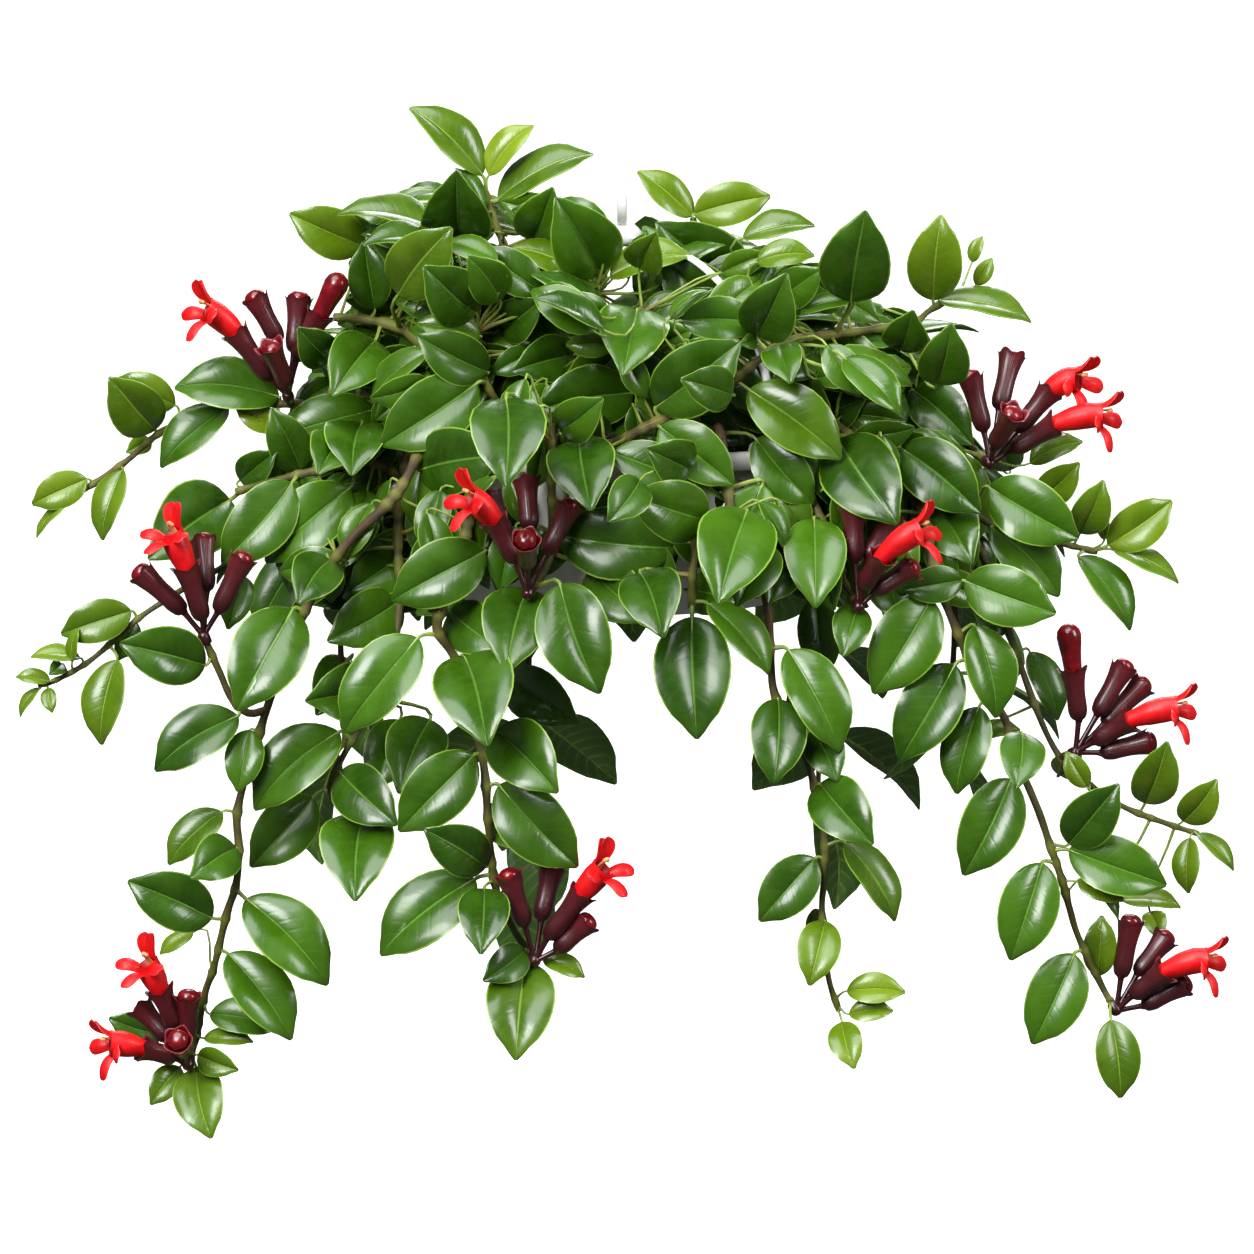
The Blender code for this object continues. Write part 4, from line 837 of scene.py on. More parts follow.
# %% Leaves read from the photograph
# Leaves as the photograph shows them: foot x, foot y, tip x, tip y, width, all in pixels.
# The nearest ones come first. A sixth number is an extra depth in millimetres.
LEAVES_NEAR = [
    # top left sprig and crown
    (482, 175, 412, 105, 41), (489, 175, 532, 124, 30), (498, 200, 591, 150, 38),
    (483, 210, 457, 167, 16), (398, 295, 449, 230, 60), (443, 232, 338, 210, 30),
    (476, 313, 427, 269, 60), (488, 372, 418, 336, 50), (477, 383, 381, 445, 66),
    (570, 338, 485, 334, 40), (573, 355, 515, 370, 48), (632, 393, 535, 411, 62),
    (637, 310, 624, 369, 69), (656, 407, 739, 342, 66),
    # top centre sprig
    (598, 286, 510, 245, 36), (600, 273, 558, 201, 70), (610, 277, 691, 253, 34),
    (532, 240, 551, 191, 53), (735, 290, 660, 225, 78), (729, 331, 662, 258, 62),
    # top right sprigs
    (692, 216, 639, 170, 34), (694, 214, 770, 196, 44), (743, 238, 814, 223, 28),
    (757, 262, 814, 254, 28), (757, 336, 785, 277, 56),
    # along the arching stem
    (851, 301, 865, 215, 69), (933, 300, 941, 217, 54), (940, 301, 1032, 318, 30),
    (816, 363, 910, 421, 62), (749, 390, 842, 457, 62), (732, 395, 684, 380, 44),
    (660, 427, 734, 484, 52), (613, 453, 693, 484, 44), (850, 300, 800, 312, 18),
    (757, 341, 741, 344, 16), (913, 390, 971, 443, 52), (901, 448, 979, 511, 62),
    (937, 384, 951, 327, 50), (780, 345, 790, 380, 40),
    # right hand reach
    (989, 487, 1078, 538, 62), (992, 528, 1060, 595, 52), (965, 581, 1055, 613, 58),
    (1080, 533, 1103, 482, 38), (1108, 545, 1172, 501, 45), (1114, 550, 1180, 580, 22),
    (1079, 557, 1133, 628, 36), (1104, 540, 1108, 511, 11), (1042, 497, 1078, 464, 36),
    # right hand trail
    (975, 626, 998, 717, 50), (955, 665, 899, 760, 60), (931, 599, 874, 693, 66),
    (979, 707, 955, 793, 46), (1022, 733, 1017, 785, 45), (1011, 779, 964, 875, 60),
    (1042, 863, 1011, 960, 58), (1074, 954, 1033, 1044, 58), (1111, 1020, 1121, 1098, 44),
    (1069, 850, 1167, 884, 56), (1069, 844, 1118, 786, 50), (1078, 882, 1124, 900, 26),
    (1084, 880, 1120, 918, 14), (1122, 900, 1181, 905, 20), (1150, 912, 1160, 938, 24),
    # right hand fork
    (1145, 803, 1167, 744, 45), (1183, 821, 1216, 781, 36), (1190, 838, 1187, 893, 25),
    (1197, 834, 1235, 869, 18), (1087, 787, 1066, 752, 24),
    # centre right trail
    (778, 699, 774, 782, 54), (788, 650, 842, 750, 56), (815, 730, 837, 779, 40),
    (820, 784, 871, 842, 56), (845, 843, 898, 919, 36), (815, 858, 760, 921, 50),
    (825, 921, 810, 984, 42), (847, 991, 905, 991, 29), (849, 1014, 893, 1010, 22),
    (842, 1022, 854, 1067, 33),
    # centre left trail
    (474, 755, 399, 831, 60), (496, 731, 555, 790, 62), (499, 785, 577, 867, 64),
    (486, 867, 427, 831, 50), (475, 879, 379, 953, 62), (484, 889, 481, 951, 50),
    (525, 950, 485, 980, 36), (543, 959, 585, 976, 20), (526, 962, 516, 1057, 66),
    (418, 638, 342, 731, 62), (464, 656, 486, 740, 78),
    # left drop
    (340, 772, 394, 823, 55), (363, 814, 355, 896, 72), (339, 732, 253, 808, 60),
    (313, 798, 251, 866, 56),
    # middle of the mound, nearest leaves
    (527, 589, 507, 668, 68), (560, 584, 599, 692, 70), (510, 677, 576, 722, 58),
    (559, 536, 680, 548, 70), (708, 520, 632, 496, 60), (747, 511, 720, 598, 76),
    (814, 519, 816, 604, 60), (765, 541, 738, 603, 50), (692, 617, 697, 737, 74),
    (708, 604, 772, 672, 36), (815, 597, 824, 678, 46), (858, 606, 844, 654, 38),
    (962, 580, 903, 590, 36), (756, 439, 814, 504, 50), (838, 440, 895, 520, 75),
    (506, 399, 508, 504, 76, 16), (579, 441, 590, 505, 66), (485, 551, 392, 600, 62),
    (440, 482, 356, 551, 64), (640, 573, 662, 633, 60),
    # left of the mound
    (350, 488, 265, 561, 62), (292, 483, 222, 563, 60), (308, 549, 256, 633, 50),
    (245, 577, 228, 628, 34), (375, 341, 334, 392, 58), (375, 309, 364, 242, 42),
    (364, 246, 291, 214, 50), (375, 410, 276, 436, 52), (279, 397, 175, 385, 52),
    (280, 428, 235, 405, 28), (362, 424, 352, 470, 62),
    # left reach
    (155, 430, 111, 380, 54), (175, 405, 113, 380, 38), (228, 408, 159, 465, 42),
    (123, 470, 100, 539, 32), (87, 479, 32, 504, 36), (67, 503, 35, 536, 12),
    # low left reach
    (131, 611, 61, 634, 42), (117, 660, 99, 744, 42), (80, 658, 31, 655, 16),
    (72, 662, 77, 628, 13), (50, 681, 16, 676, 15), (40, 688, 19, 716, 11),
    (48, 688, 52, 712, 16), (205, 665, 122, 644, 56),
    # left trail
    (293, 609, 238, 708, 72), (238, 716, 154, 769, 52), (250, 730, 238, 791, 38),
    (222, 812, 167, 863, 36), (236, 848, 193, 876, 46), (212, 918, 129, 882, 56),
    (193, 932, 159, 953, 16), (246, 899, 329, 983, 60), (228, 954, 293, 1038, 52),
    (210, 1014, 279, 1028, 34), (204, 1038, 253, 1040, 16), (198, 1055, 237, 1070, 28),
    (196, 1067, 210, 1136, 50), (180, 1067, 151, 1104, 30), (164, 1035, 110, 1019, 36),
]
LEAVES_BEHIND = [
    (456, 238, 456, 176, 69, 12), (640, 268, 655, 235, 40, 24), (842, 304, 790, 268, 46, 14),
    (972, 262, 982, 236, 14, 6), (976, 285, 992, 258, 18, 6), (900, 350, 912, 314, 46, 16),
    (816, 348, 776, 378, 42, 10), (820, 420, 862, 400, 46, 14), (676, 408, 742, 442, 50, 12),
    (560, 300, 575, 262, 50, 20), (500, 300, 470, 258, 44, 16), (540, 310, 520, 262, 40, 22),
    (690, 300, 700, 262, 50, 26), (640, 350, 690, 330, 50, 18), (500, 330, 540, 300, 44, 16),
    (420, 300, 440, 270, 44, 18), (440, 420, 480, 460, 70, 12), (420, 470, 500, 455, 66, 16),
    (610, 440, 560, 425, 44, 14), (560, 430, 600, 400, 44, 20), (690, 470, 650, 450, 50, 14),
    (620, 520, 600, 470, 50, 14), (780, 480, 740, 462, 44, 18), (790, 560, 770, 600, 44, 14),
    (880, 520, 930, 560, 60, 14), (930, 500, 970, 560, 60, 18), (880, 560, 900, 620, 50, 16),
    (996, 600, 990, 642, 44, 14), (1030, 652, 1060, 719, 34, 12), (1030, 463, 1082, 440, 26, 10),
    (1060, 775, 1080, 750, 30, 8), (1098, 976, 1102, 916, 34, 12), (975, 735, 1020, 728, 18, 6),
    (1010, 470, 1000, 430, 36, 14), (400, 600, 330, 640, 56, 12), (450, 612, 500, 650, 52, 14),
    (420, 540, 350, 590, 60, 14), (330, 560, 300, 600, 50, 14), (430, 720, 400, 790, 60, 16),
    (400, 720, 375, 788, 50, 24), (494, 815, 530, 846, 40, 10), (362, 690, 310, 700, 60, 14),
    (350, 660, 318, 712, 54, 22), (590, 570, 650, 620, 56, 14), (300, 470, 272, 410, 44, 16),
    (340, 440, 320, 470, 50, 16), (240, 480, 275, 452, 34, 16), (230, 500, 152, 556, 76, 12),
    (136, 622, 118, 660, 24, 8), (62, 664, 50, 674, 16, 6), (330, 360, 300, 330, 40, 16),
    (385, 380, 340, 350, 44, 20), (430, 440, 400, 420, 50, 20), (690, 590, 740, 600, 44, 16),
    (822, 912, 806, 930, 20, 8), (360, 240, 340, 215, 40, 20), (150, 440, 127, 452, 20, 6),
    (780, 300, 820, 270, 40, 20), (870, 400, 880, 350, 44, 14), (640, 480, 610, 520, 40, 20),
]

# The age of the young leaves by the pixel of the foot: 0 is lime green, 1 is fully grown.
YOUNG_LEAVES = {
    (489, 175): 0.1, (482, 175): 0.55, (498, 200): 0.55, (692, 216): 0.35, (694, 214): 0.35,
    (757, 262): 0.15, (743, 238): 0.5, (933, 300): 0.4, (940, 301): 0.5, (972, 262): 0.1,
    (976, 285): 0.1, (598, 286): 0.45, (610, 277): 0.35, (1108, 545): 0.12, (1042, 497): 0.55,
    (1114, 550): 0.45, (1104, 540): 0.2, (975, 735): 0.1, (1060, 775): 0.2, (1087, 787): 0.4,
    (1145, 803): 0.5, (1183, 821): 0.35, (1190, 838): 0.35, (1197, 834): 0.4, (1150, 912): 0.2,
    (1122, 900): 0.3, (1078, 882): 0.45, (847, 991): 0.2, (849, 1014): 0.25, (842, 1022): 0.3,
    (825, 921): 0.5, (280, 428): 0.1, (193, 932): 0.2, (204, 1038): 0.35, (87, 479): 0.3,
    (67, 503): 0.4, (123, 470): 0.5, (155, 430): 0.55, (175, 405): 0.45, (117, 660): 0.5,
    (80, 658): 0.35, (72, 662): 0.3, (50, 681): 0.35, (40, 688): 0.35, (48, 688): 0.35,
    (398, 295): 0.55, (443, 232): 0.6, (364, 246): 0.55, (196, 1067): 0.6, (180, 1067): 0.55,
    (198, 1055): 0.5, (1111, 1020): 0.6, (526, 962): 0.65, (150, 440): 0.5, (822, 912): 0.4,
    (494, 815): 0.6, (1098, 976): 0.6, (1030, 463): 0.6, (640, 268): 0.6, (543, 959): 0.6,
    (749, 390): 0.8, (845, 843): 0.7, (131, 611): 0.65, (222, 812): 0.7, (1080, 533): 0.65,
}
print("leaf rows:", len(LEAVES_NEAR) + len(LEAVES_BEHIND), "of them young:", len(YOUNG_LEAVES))

# %% [markdown]
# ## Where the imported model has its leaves
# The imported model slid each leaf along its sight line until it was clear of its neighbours. The
# same list of slides and turns is gone through here, and the one whose blade corners are corners
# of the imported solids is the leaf's place. So every fine leaf lies exactly on its solid.

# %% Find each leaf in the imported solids
FOLD = 0.2
ARCH = 0.07
# The mound's front is half of an ellipsoid: its middle and half sizes in pixels, its depth in mm.
MOUND_X, MOUND_Y, MOUND_WIDE, MOUND_ABOVE, MOUND_BELOW, MOUND_DEEP = 632, 450, 440, 300, 420, 112
# A leaf belongs to a stem that passes within so many pixels of its foot.
FOOT_REACH = 26
# Slides along the sight line in millimetres, then leans and turns, in the order they are tried.
SLIDES = [0, -4, 4, -8, 8, -12, 12, -16, 16, -20, 20, 24, 28, 34, 40, 48, 56]
TURNS = [(0, 0), (0.15, 0), (-0.15, 0), (0, 0.35), (0, -0.35), (-0.35, 0), (0.35, 0.3)]


def arch(u, length):
    """How far the middle of a blade stands above the line from its foot to its tip."""
    return ARCH * length * 4 * u * (1 - u)


def blade_axes(base, tip, face):
    """Length, direction along, direction across and upper face normal of a blade."""
    along = tip - base
    length = np.linalg.norm(along)
    a = along / length
    n = unit(face - a * (face @ a))
    return length, a, np.cross(n, a), n


def mound_depth(x, y):
    """Depth in mm of the front of the leafy mound behind a pixel: a half ellipsoid."""
    across = (x - MOUND_X) / MOUND_WIDE
    height = (y - MOUND_Y) / (MOUND_ABOVE if y < MOUND_Y else MOUND_BELOW)
    return -MOUND_DEEP * math.sqrt(max(0.06, 1 - across ** 2 - height ** 2))


def foot_depth(x, y):
    """The depth of the nearest stem within reach of the leaf's foot, or the mound's."""
    gap = np.hypot(samples[:, 3] - x, samples[:, 4] - y)
    near = gap < FOOT_REACH
    if near.any():
        return float(samples[near][np.argmin(samples[near][:, 5] + gap[near] * 0.4)][5]) - 2.0
    return mound_depth(x, y)


def leaf_pose(entry, depth, lean=0.0, turn=0.0):
    """Foot, tip, face and half width of a leaf seen as foot, tip and width in pixels."""
    x0, y0, x1, y1, wide = entry[:5]
    seen = math.hypot(x1 - x0, y1 - y0)
    full = max(seen, wide / 0.6)
    nearer = math.sqrt(full ** 2 - seen ** 2) * PIXEL / MM
    half = 0.5 * max(wide, min(0.56 * full, wide * 2.6)) * PIXEL
    base = at(x0, y0, depth)
    tip = at(x1, y1, depth - 0.92 * nearer - 0.1 * seen * PIXEL / MM + lean * full * PIXEL / MM)
    a = unit(tip - base)
    toward = -AHEAD
    n = unit(toward - a * (toward @ a))
    tilt = math.acos(min(1.0, wide * 0.5 * PIXEL / half))
    s = np.cross(n, a)
    choices = [n * math.cos(tilt) + s * math.sin(tilt), n * math.cos(tilt) - s * math.sin(tilt)]
    face = max(choices, key=lambda c: c[2])
    if turn:
        face = face * math.cos(turn) + np.cross(a, face) * math.sin(turn)
    return base, tip, face, half


def nearest_root(base, reach):
    """The stem point that a leaf's stalk grows from, and its stem number."""
    gap = np.linalg.norm(samples[:, :3] - base, axis=1)
    i = int(np.argmin(gap))
    if gap[i] > reach:
        return None, None
    return samples[i, :3], int(samples[i, 6])


def solid_corners(node):
    """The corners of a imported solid, in the pot's frame."""
    flat = np.empty(len(node.data.vertices) * 3)
    node.data.vertices.foreach_get("co", flat)
    return flat.reshape(-1, 3) - DROP


def corner_tree():
    """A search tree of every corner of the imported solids."""
    corners = np.vstack([solid_corners(node) for node in nodes.values()])
    tree = KDTree(len(corners))
    for number, corner in enumerate(corners):
        tree.insert(corner, number)
    tree.balance()
    return tree


def blade_corners(base, tip, face, half):
    """The three outer corners of the solid blade: two at its wide end and its tip."""
    length, a, s, n = blade_axes(base, tip, face)
    centre = base + a * length * 0.64 + n * arch(0.64, length)
    wide = half * 0.8
    return [centre + s * wide + n * wide * FOLD, centre - s * wide + n * wide * FOLD, tip]


def is_in_model(tree, base, tip, face, half):
    """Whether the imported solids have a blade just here."""
    return all(tree.find(corner)[2] < 0.03 * MM for corner in blade_corners(base, tip, face, half))


def find_seen_leaf(entry, tree):
    """The pose of one leaf of the photograph, or None if it found no room in the model."""
    extra = entry[5] if len(entry) > 5 else 0
    depth = foot_depth(entry[0], entry[1]) + extra
    for lean, turn in TURNS:
        for slide in SLIDES:
            base, tip, face, half = leaf_pose(entry, depth + slide, lean, turn)
            if is_in_model(tree, base, tip, face, half):
                root, number = nearest_root(base, 34 * MM)
                return root, base, tip, face, half, number
    return None


def find_back_leaves(tree, stems):
    """The leaf pairs of the far side, by the steps that laid them out."""
    found = []
    for number, (name, path, _) in enumerate(stems):
        if not (name.startswith("vine_back") or name == CROWN_BACK):
            continue
        fine = even_points(path, 2 * MM)
        heading = frames_along(fine)[0]
        for pair, node in enumerate(range(16, len(fine) - 1, 17)):
            up = unit(np.array([0, 0, 1.0]) - heading[node] * heading[node][2])
            quarter = np.cross(heading[node], up) if pair % 2 == 0 else up
            for sign in (1, -1):
                found += back_leaf(fine[node], quarter * sign, heading[node], number, tree)
        found += back_leaf(fine[-1], heading[-1] * 0.5, heading[-1], number, tree)
    return found


def back_leaf(root, away, heading, number, tree):
    """One leaf of a pair, as a list that is empty if the model has none here."""
    for long in (46, 40, 34, 28):
        for swing in (0.0, 0.35, -0.35, 0.7):
            pose = back_pose(root, away, heading, long, swing)
            if pose and is_in_model(tree, *pose):
                return [(root, *pose, number)]
    return []


def back_pose(root, away, heading, long, swing):
    """Foot, tip, face and half width of a leaf that leaves its stem sideways and outwards."""
    out = unit(root * np.array([1, 1, 0]) + np.array([0, 1e-4, 0]))
    reach = unit(away + heading * 0.55 + out * (0.35 + swing) + np.array([0, 0, -0.25]))
    base = root + unit(away + out * 0.4) * 7 * MM
    face = unit(out * 0.75 + np.array([0, 0, 0.65]))
    if abs(face @ reach) > 0.93:
        return None
    return base, base + reach * long * MM, face, 0.29 * long * MM


corners = corner_tree()
leaves = []
for entry in LEAVES_NEAR + LEAVES_BEHIND:
    pose = find_seen_leaf(entry, corners)
    if pose:
        leaves.append((*pose, YOUNG_LEAVES.get(entry[:2], 0.95)))
seen_count = len(leaves)
leaves += [(*pose, 0.9) for pose in find_back_leaves(corners, coarse_stems)]
found_count = len(leaves)
print("leaves found in the model:", seen_count, "seen and", found_count - seen_count, "behind")

# %% [markdown]
# ## More leaves inside the mound
# The real mound is so dense that no soil shows. Layer by layer, from the front leaves to the
# middle, a scattered grid of further leaves is tried inside the mound's outline, about one for
# every 25 pixels. Each is kept only if the surface of its outline body crosses no solid and no
# leaf before it, and only if it hides no leaf or flower that the photograph shows. Only surfaces
# are compared, so this keeps leaves from cutting each other and doesn't look inside the soil.

# %% Room for a leaf
def turned(vector, old, new):
    """A vector that was square to the old direction, turned with it to the new one."""
    return vector - (old + new) * (vector @ new) / max(1 + old @ new, 0.05)


def leaf_shell(root, base, tip, face, half, grow=0.0):
    """A leaf stalk and blade as one closed shell: three corners per row, then the tip."""
    length, a, s, n = blade_axes(base, tip, face)
    stalk = 0.8 * MM + grow
    thick = 0.7 * MM + grow
    stalk_way = unit(base - root) if np.linalg.norm(base - root) > 1e-6 else a
    rows = []
    for centre, way in ((root, stalk_way), (base, unit(stalk_way + a))):
        across, over = unit(turned(s, a, way)), unit(turned(n, a, way))
        rows += [centre + across * stalk + over * stalk * 0.5,
                 centre - across * stalk + over * stalk * 0.5, centre - over * stalk]
    for u, wide in ((0.3, 0.96), (0.64, 0.8)):
        centre = base + a * length * u + n * arch(u, length)
        w = half * wide + grow
        lift = half * wide * FOLD + grow
        rows += [centre + s * w + n * lift, centre - s * w + n * lift, centre - n * thick]
    rows.append(tip + a * grow)
    faces = [(0, 2, 1)]
    for i in range(3):
        for j in range(3):
            k = (j + 1) % 3
            faces.append((3 * i + j, 3 * i + k, 3 * i + 3 + k, 3 * i + 3 + j))
    faces += [(9, 10, 12), (10, 11, 12), (11, 9, 12)]
    return np.array(rows), faces


def boxed_tree(verts, faces):
    """A search tree over a shape's faces, with its lowest and highest corners."""
    tree = BVHTree.FromPolygons([tuple(v) for v in verts], faces)
    return tree, verts.min(axis=0), verts.max(axis=0)


def solid_room():
    """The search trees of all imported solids, in the pot's frame."""
    rows = [boxed_tree(solid_corners(node), [tuple(f.vertices) for f in node.data.polygons])
            for node in nodes.values()]
    return dict(trees=[row[0] for row in rows], low=np.array([row[1] for row in rows]),
                high=np.array([row[2] for row in rows]))


def fill_fits(pose, room):
    """Keep the blade if it cuts nothing so far, and note it as taken room."""
    tree, low, high = boxed_tree(*leaf_shell(pose[0], *pose, 0.1 * MM))
    near = np.all((room["low"] <= high) & (room["high"] >= low), axis=1)
    if any(tree.overlap(room["trees"][i]) for i in np.flatnonzero(near)):
        return False
    room["trees"].append(tree)
    room["low"] = np.vstack([room["low"], low])
    room["high"] = np.vstack([room["high"], high])
    return True


print("faces of a leaf's outline body:", len(leaf_shell(*np.eye(4, 3) * 0.04, 0.01)[1]))

# %% Fill the front of the mound
# The outline of the dense part of the mound, in pixels.
MOUND_EDGE = np.array([
    (330, 240), (400, 190), (470, 190), (560, 205), (640, 220), (760, 235), (800, 280), (850, 300),
    (930, 325), (960, 400), (985, 470), (1010, 540), (990, 600), (930, 605), (880, 600), (850, 625),
    (790, 605), (740, 600), (700, 588), (640, 605), (590, 600), (520, 590), (450, 605), (380, 640),
    (330, 640), (290, 600), (262, 540), (262, 470), (290, 400), (330, 340), (345, 290),
])


def inside_mound(x, y):
    """Whether a pixel is inside the outline: an odd number of edges to its right."""
    x0, y0 = MOUND_EDGE.T
    x1, y1 = np.roll(MOUND_EDGE, -1, axis=0).T
    meets = (y0 > y) != (y1 > y)
    where = x0 + (y - y0) * (x1 - x0) / np.where(y1 == y0, 1, y1 - y0)
    return bool(np.count_nonzero(meets & (x < where)) % 2)


# How far behind the mound's front, in millimetres, the photograph still shows leaves and stems.
SHOWN_DEPTH = 45
# The depths of the layers behind the mound's front in millimetres, and each layer's grid of pixels.
LAYERS = (-12, -4, 4, 12, 20, 30, 42, 56)
GRID_ROWS, GRID_COLUMNS, SCATTER = range(200, 640, 25), range(275, 1010, 26), 12
# How many points of the far stems are tried.
FAR_TRIES = 900
# Leaves that show between the others and aren't among the solids.
GAP_LEAVES = [(506, 399, 506, 482, 72), (640, 480, 610, 520, 40), (560, 452, 562, 510, 52)]


def front_tree(*kinds):
    """A search tree of the plant's own solids of these kinds, without those of the far side."""
    verts, faces = [], []
    for name, node in nodes.items():
        if name.startswith(("vine_back", CROWN_BACK)) or not name.startswith(kinds):
            continue
        start = sum(len(v) for v in verts)
        verts.append(solid_corners(node))
        faces += [tuple(i + start for i in f.vertices) for f in node.data.polygons]
    return BVHTree.FromPolygons(np.vstack(verts).tolist(), faces)


def hides_something(pose, front):
    """Whether two or more of 27 points of the leaf stand before something the photograph shows."""
    base, tip, face, half = pose
    length, a, s, _ = blade_axes(base, tip, face)
    eye = TARGET - AHEAD * VIEW_DISTANCE
    covered = 0
    for u, wide in ((0, 0), (0.15, 0.8), (0.32, 1), (0.5, 1), (0.68, 0.8), (0.85, 0.5), (1, 0)):
        for v in (-0.95, -0.45, 0.0, 0.45, 0.95) if wide else (0.0,):
            point = base + a * length * u + s * half * wide * v
            reach = np.linalg.norm(point - eye)
            hit, _, _, distance = front.ray_cast(Vector(eye), Vector(unit(point - eye)))
            if hit is None or distance < reach:
                continue
            x, y, depth = seen_from(np.array(hit))
            covered += depth < mound_depth(x, y) + SHOWN_DEPTH
            if covered > 1:
                return True
    return False


def grid_leaf(x, y, shift, room, front, rng):
    """Try one leaf with its foot at this pixel, pointing outwards and down, long then shorter."""
    away = math.atan2(y - 330, (x - 640) * 0.7) + rng.uniform(-0.9, 0.9)
    long, share, turn = rng.uniform(92, 130), rng.uniform(0.48, 0.6), rng.uniform(-0.8, 0.8)
    lean = rng.uniform(-0.3, 0.5)
    for shorter in (1.0, 0.8, 0.64, 0.5):
        tip_x, tip_y = x + long * shorter * math.cos(away), y + long * shorter * math.sin(away)
        if not (inside_mound(x, y) and inside_mound(tip_x, tip_y)):
            continue
        for slide in (0, -5, 5, -10, 10, 16):
            depth = mound_depth(x, y) + shift + slide
            pose = leaf_pose((x, y, tip_x, tip_y, long * shorter * share), depth, lean, turn)
            root, number = nearest_root(pose[0], 42 * MM)
            if number is None or pose[1][2] < 2 * MM or hides_something(pose, front):
                continue
            if fill_fits(pose, room):
                return (root, *pose, number, rng.uniform(0.84, 1.0))
    return None


def gap_leaf(entry, room, blossoms):
    """One of the gap leaves at the first depth and turn at which it is clear and hides no flower."""
    for turn in (0.0, 0.25, -0.25, 0.5, -0.5):
        for slide in range(-24, 50, 2):
            pose = leaf_pose(entry, mound_depth(*entry[:2]) + slide, 0.1, turn)
            root, number = nearest_root(pose[0], 45 * MM)
            if number is None or hides_something(pose, blossoms):
                continue
            if fill_fits(pose, room):
                return [(root, *pose, number, 0.95)]
    return []


def fill_front(room, front, blossoms):
    """The gap leaves, then layers of leaves on a scattered grid of about 25 pixels."""
    rng = np.random.default_rng(11)
    added = [leaf for entry in GAP_LEAVES for leaf in gap_leaf(entry, room, blossoms)]
    print("gap leaves:", len(added))
    for shift, y, x in itertools.product(LAYERS, GRID_ROWS, GRID_COLUMNS):
        place = x + rng.uniform(-SCATTER, SCATTER), y + rng.uniform(-SCATTER, SCATTER)
        leaf = grid_leaf(*place, shift, room, front, rng)
        if leaf:
            added.append(leaf)
    return added


def fill_back(room):
    """Leaves of the far half, each from a stem point, leaning outwards inside the mound's outline."""
    rng = np.random.default_rng(23)
    far = samples[(samples[:, 1] > 0) & (samples[:, 2] > 25 * MM)]
    added = []
    for row in far[rng.permutation(len(far))[:FAR_TRIES]]:
        angle, rise = rng.uniform(0, 2 * math.pi), rng.uniform(-0.3, 0.6)
        away, swing = unit(np.array([math.cos(angle), math.sin(angle), rise])), rng.uniform(-0.2, 0.8)
        for long in (44, 35, 27):
            pose = back_pose(row[:3], away, away, long, swing)
            if pose is None or not all(inside_mound(*seen_from(end)[:2]) for end in pose[:2]):
                continue
            if fill_fits(pose, room):
                added.append((row[:3], *pose, int(row[6]), rng.uniform(0.8, 1.0)))
                break
    return added


room = solid_room()
fill = fill_front(room, front_tree("vine", "cluster", "flower"), front_tree("cluster", "flower"))
leaves += fill
far_fill = fill_back(room)
leaves += far_fill
print("leaves added to the mound:", len(fill), "in front and", len(far_fill), "behind")

# %% [markdown]
# ## From surfaces to one piece
# A surface is a table of points, one row after the other, so its faces follow from counting.
# Many surfaces of one kind are stacked into one mesh with the values stored at their points.

# %% Grids and pieces
def loop_faces(rows, columns):
    """Faces between neighbouring rows, the last column joined to the first."""
    row = np.arange(rows - 1)[:, None] * columns
    column = np.arange(columns)[None]
    after = (column + 1) % columns
    return np.stack([row + column, row + after, row + columns + after, row + columns + column],
                    axis=-1).reshape(-1, 4)


def loop_surfaces(points, values, material=0):
    """Closed tubes from points (tube, row, column, xyz): side faces and the two ends of each."""
    count, rows, columns = points.shape[:3]
    sides = loop_faces(rows, columns)
    starts = np.arange(count)[:, None, None] * rows * columns
    faces = (sides[None] + starts).reshape(-1, 4).tolist()
    ring = np.arange(columns)
    starts = starts[:, :, 0]
    faces += (ring[::-1][None] + starts).tolist()
    faces += (ring[None] + (rows - 1) * columns + starts).tolist()
    flat = {key: np.broadcast_to(value, points.shape[:3]).reshape(-1) for key, value in values.items()}
    return dict(points=points.reshape(-1, 3), faces=faces, values=flat, material=material)


def full_turn(count):
    """So many even steps round a circle, as angles."""
    return np.arange(count) * 2 * math.pi / count


def mirrored_turn(count):
    """A number round a ring, 1 at its first point and 0 opposite it, so that it has no jump."""
    return np.abs(full_turn(count) - math.pi) / math.pi


def ring_points(path, radii, u, v, count):
    """Circles carried along a path: r (u cos t + v sin t) round each of its points."""
    angle = full_turn(count)
    circle = np.cos(angle)[None, :, None] * u[:, None] + np.sin(angle)[None, :, None] * v[:, None]
    return path[:, None] + circle * np.asarray(radii)[:, None, None]


def round_tube(path, radii, ring, values, material=0):
    """A ring of even radius carried along a path."""
    u, v = frames_along(path)[1:]
    return loop_surfaces(ring_points(path, radii, u, v, ring)[None], values, material)


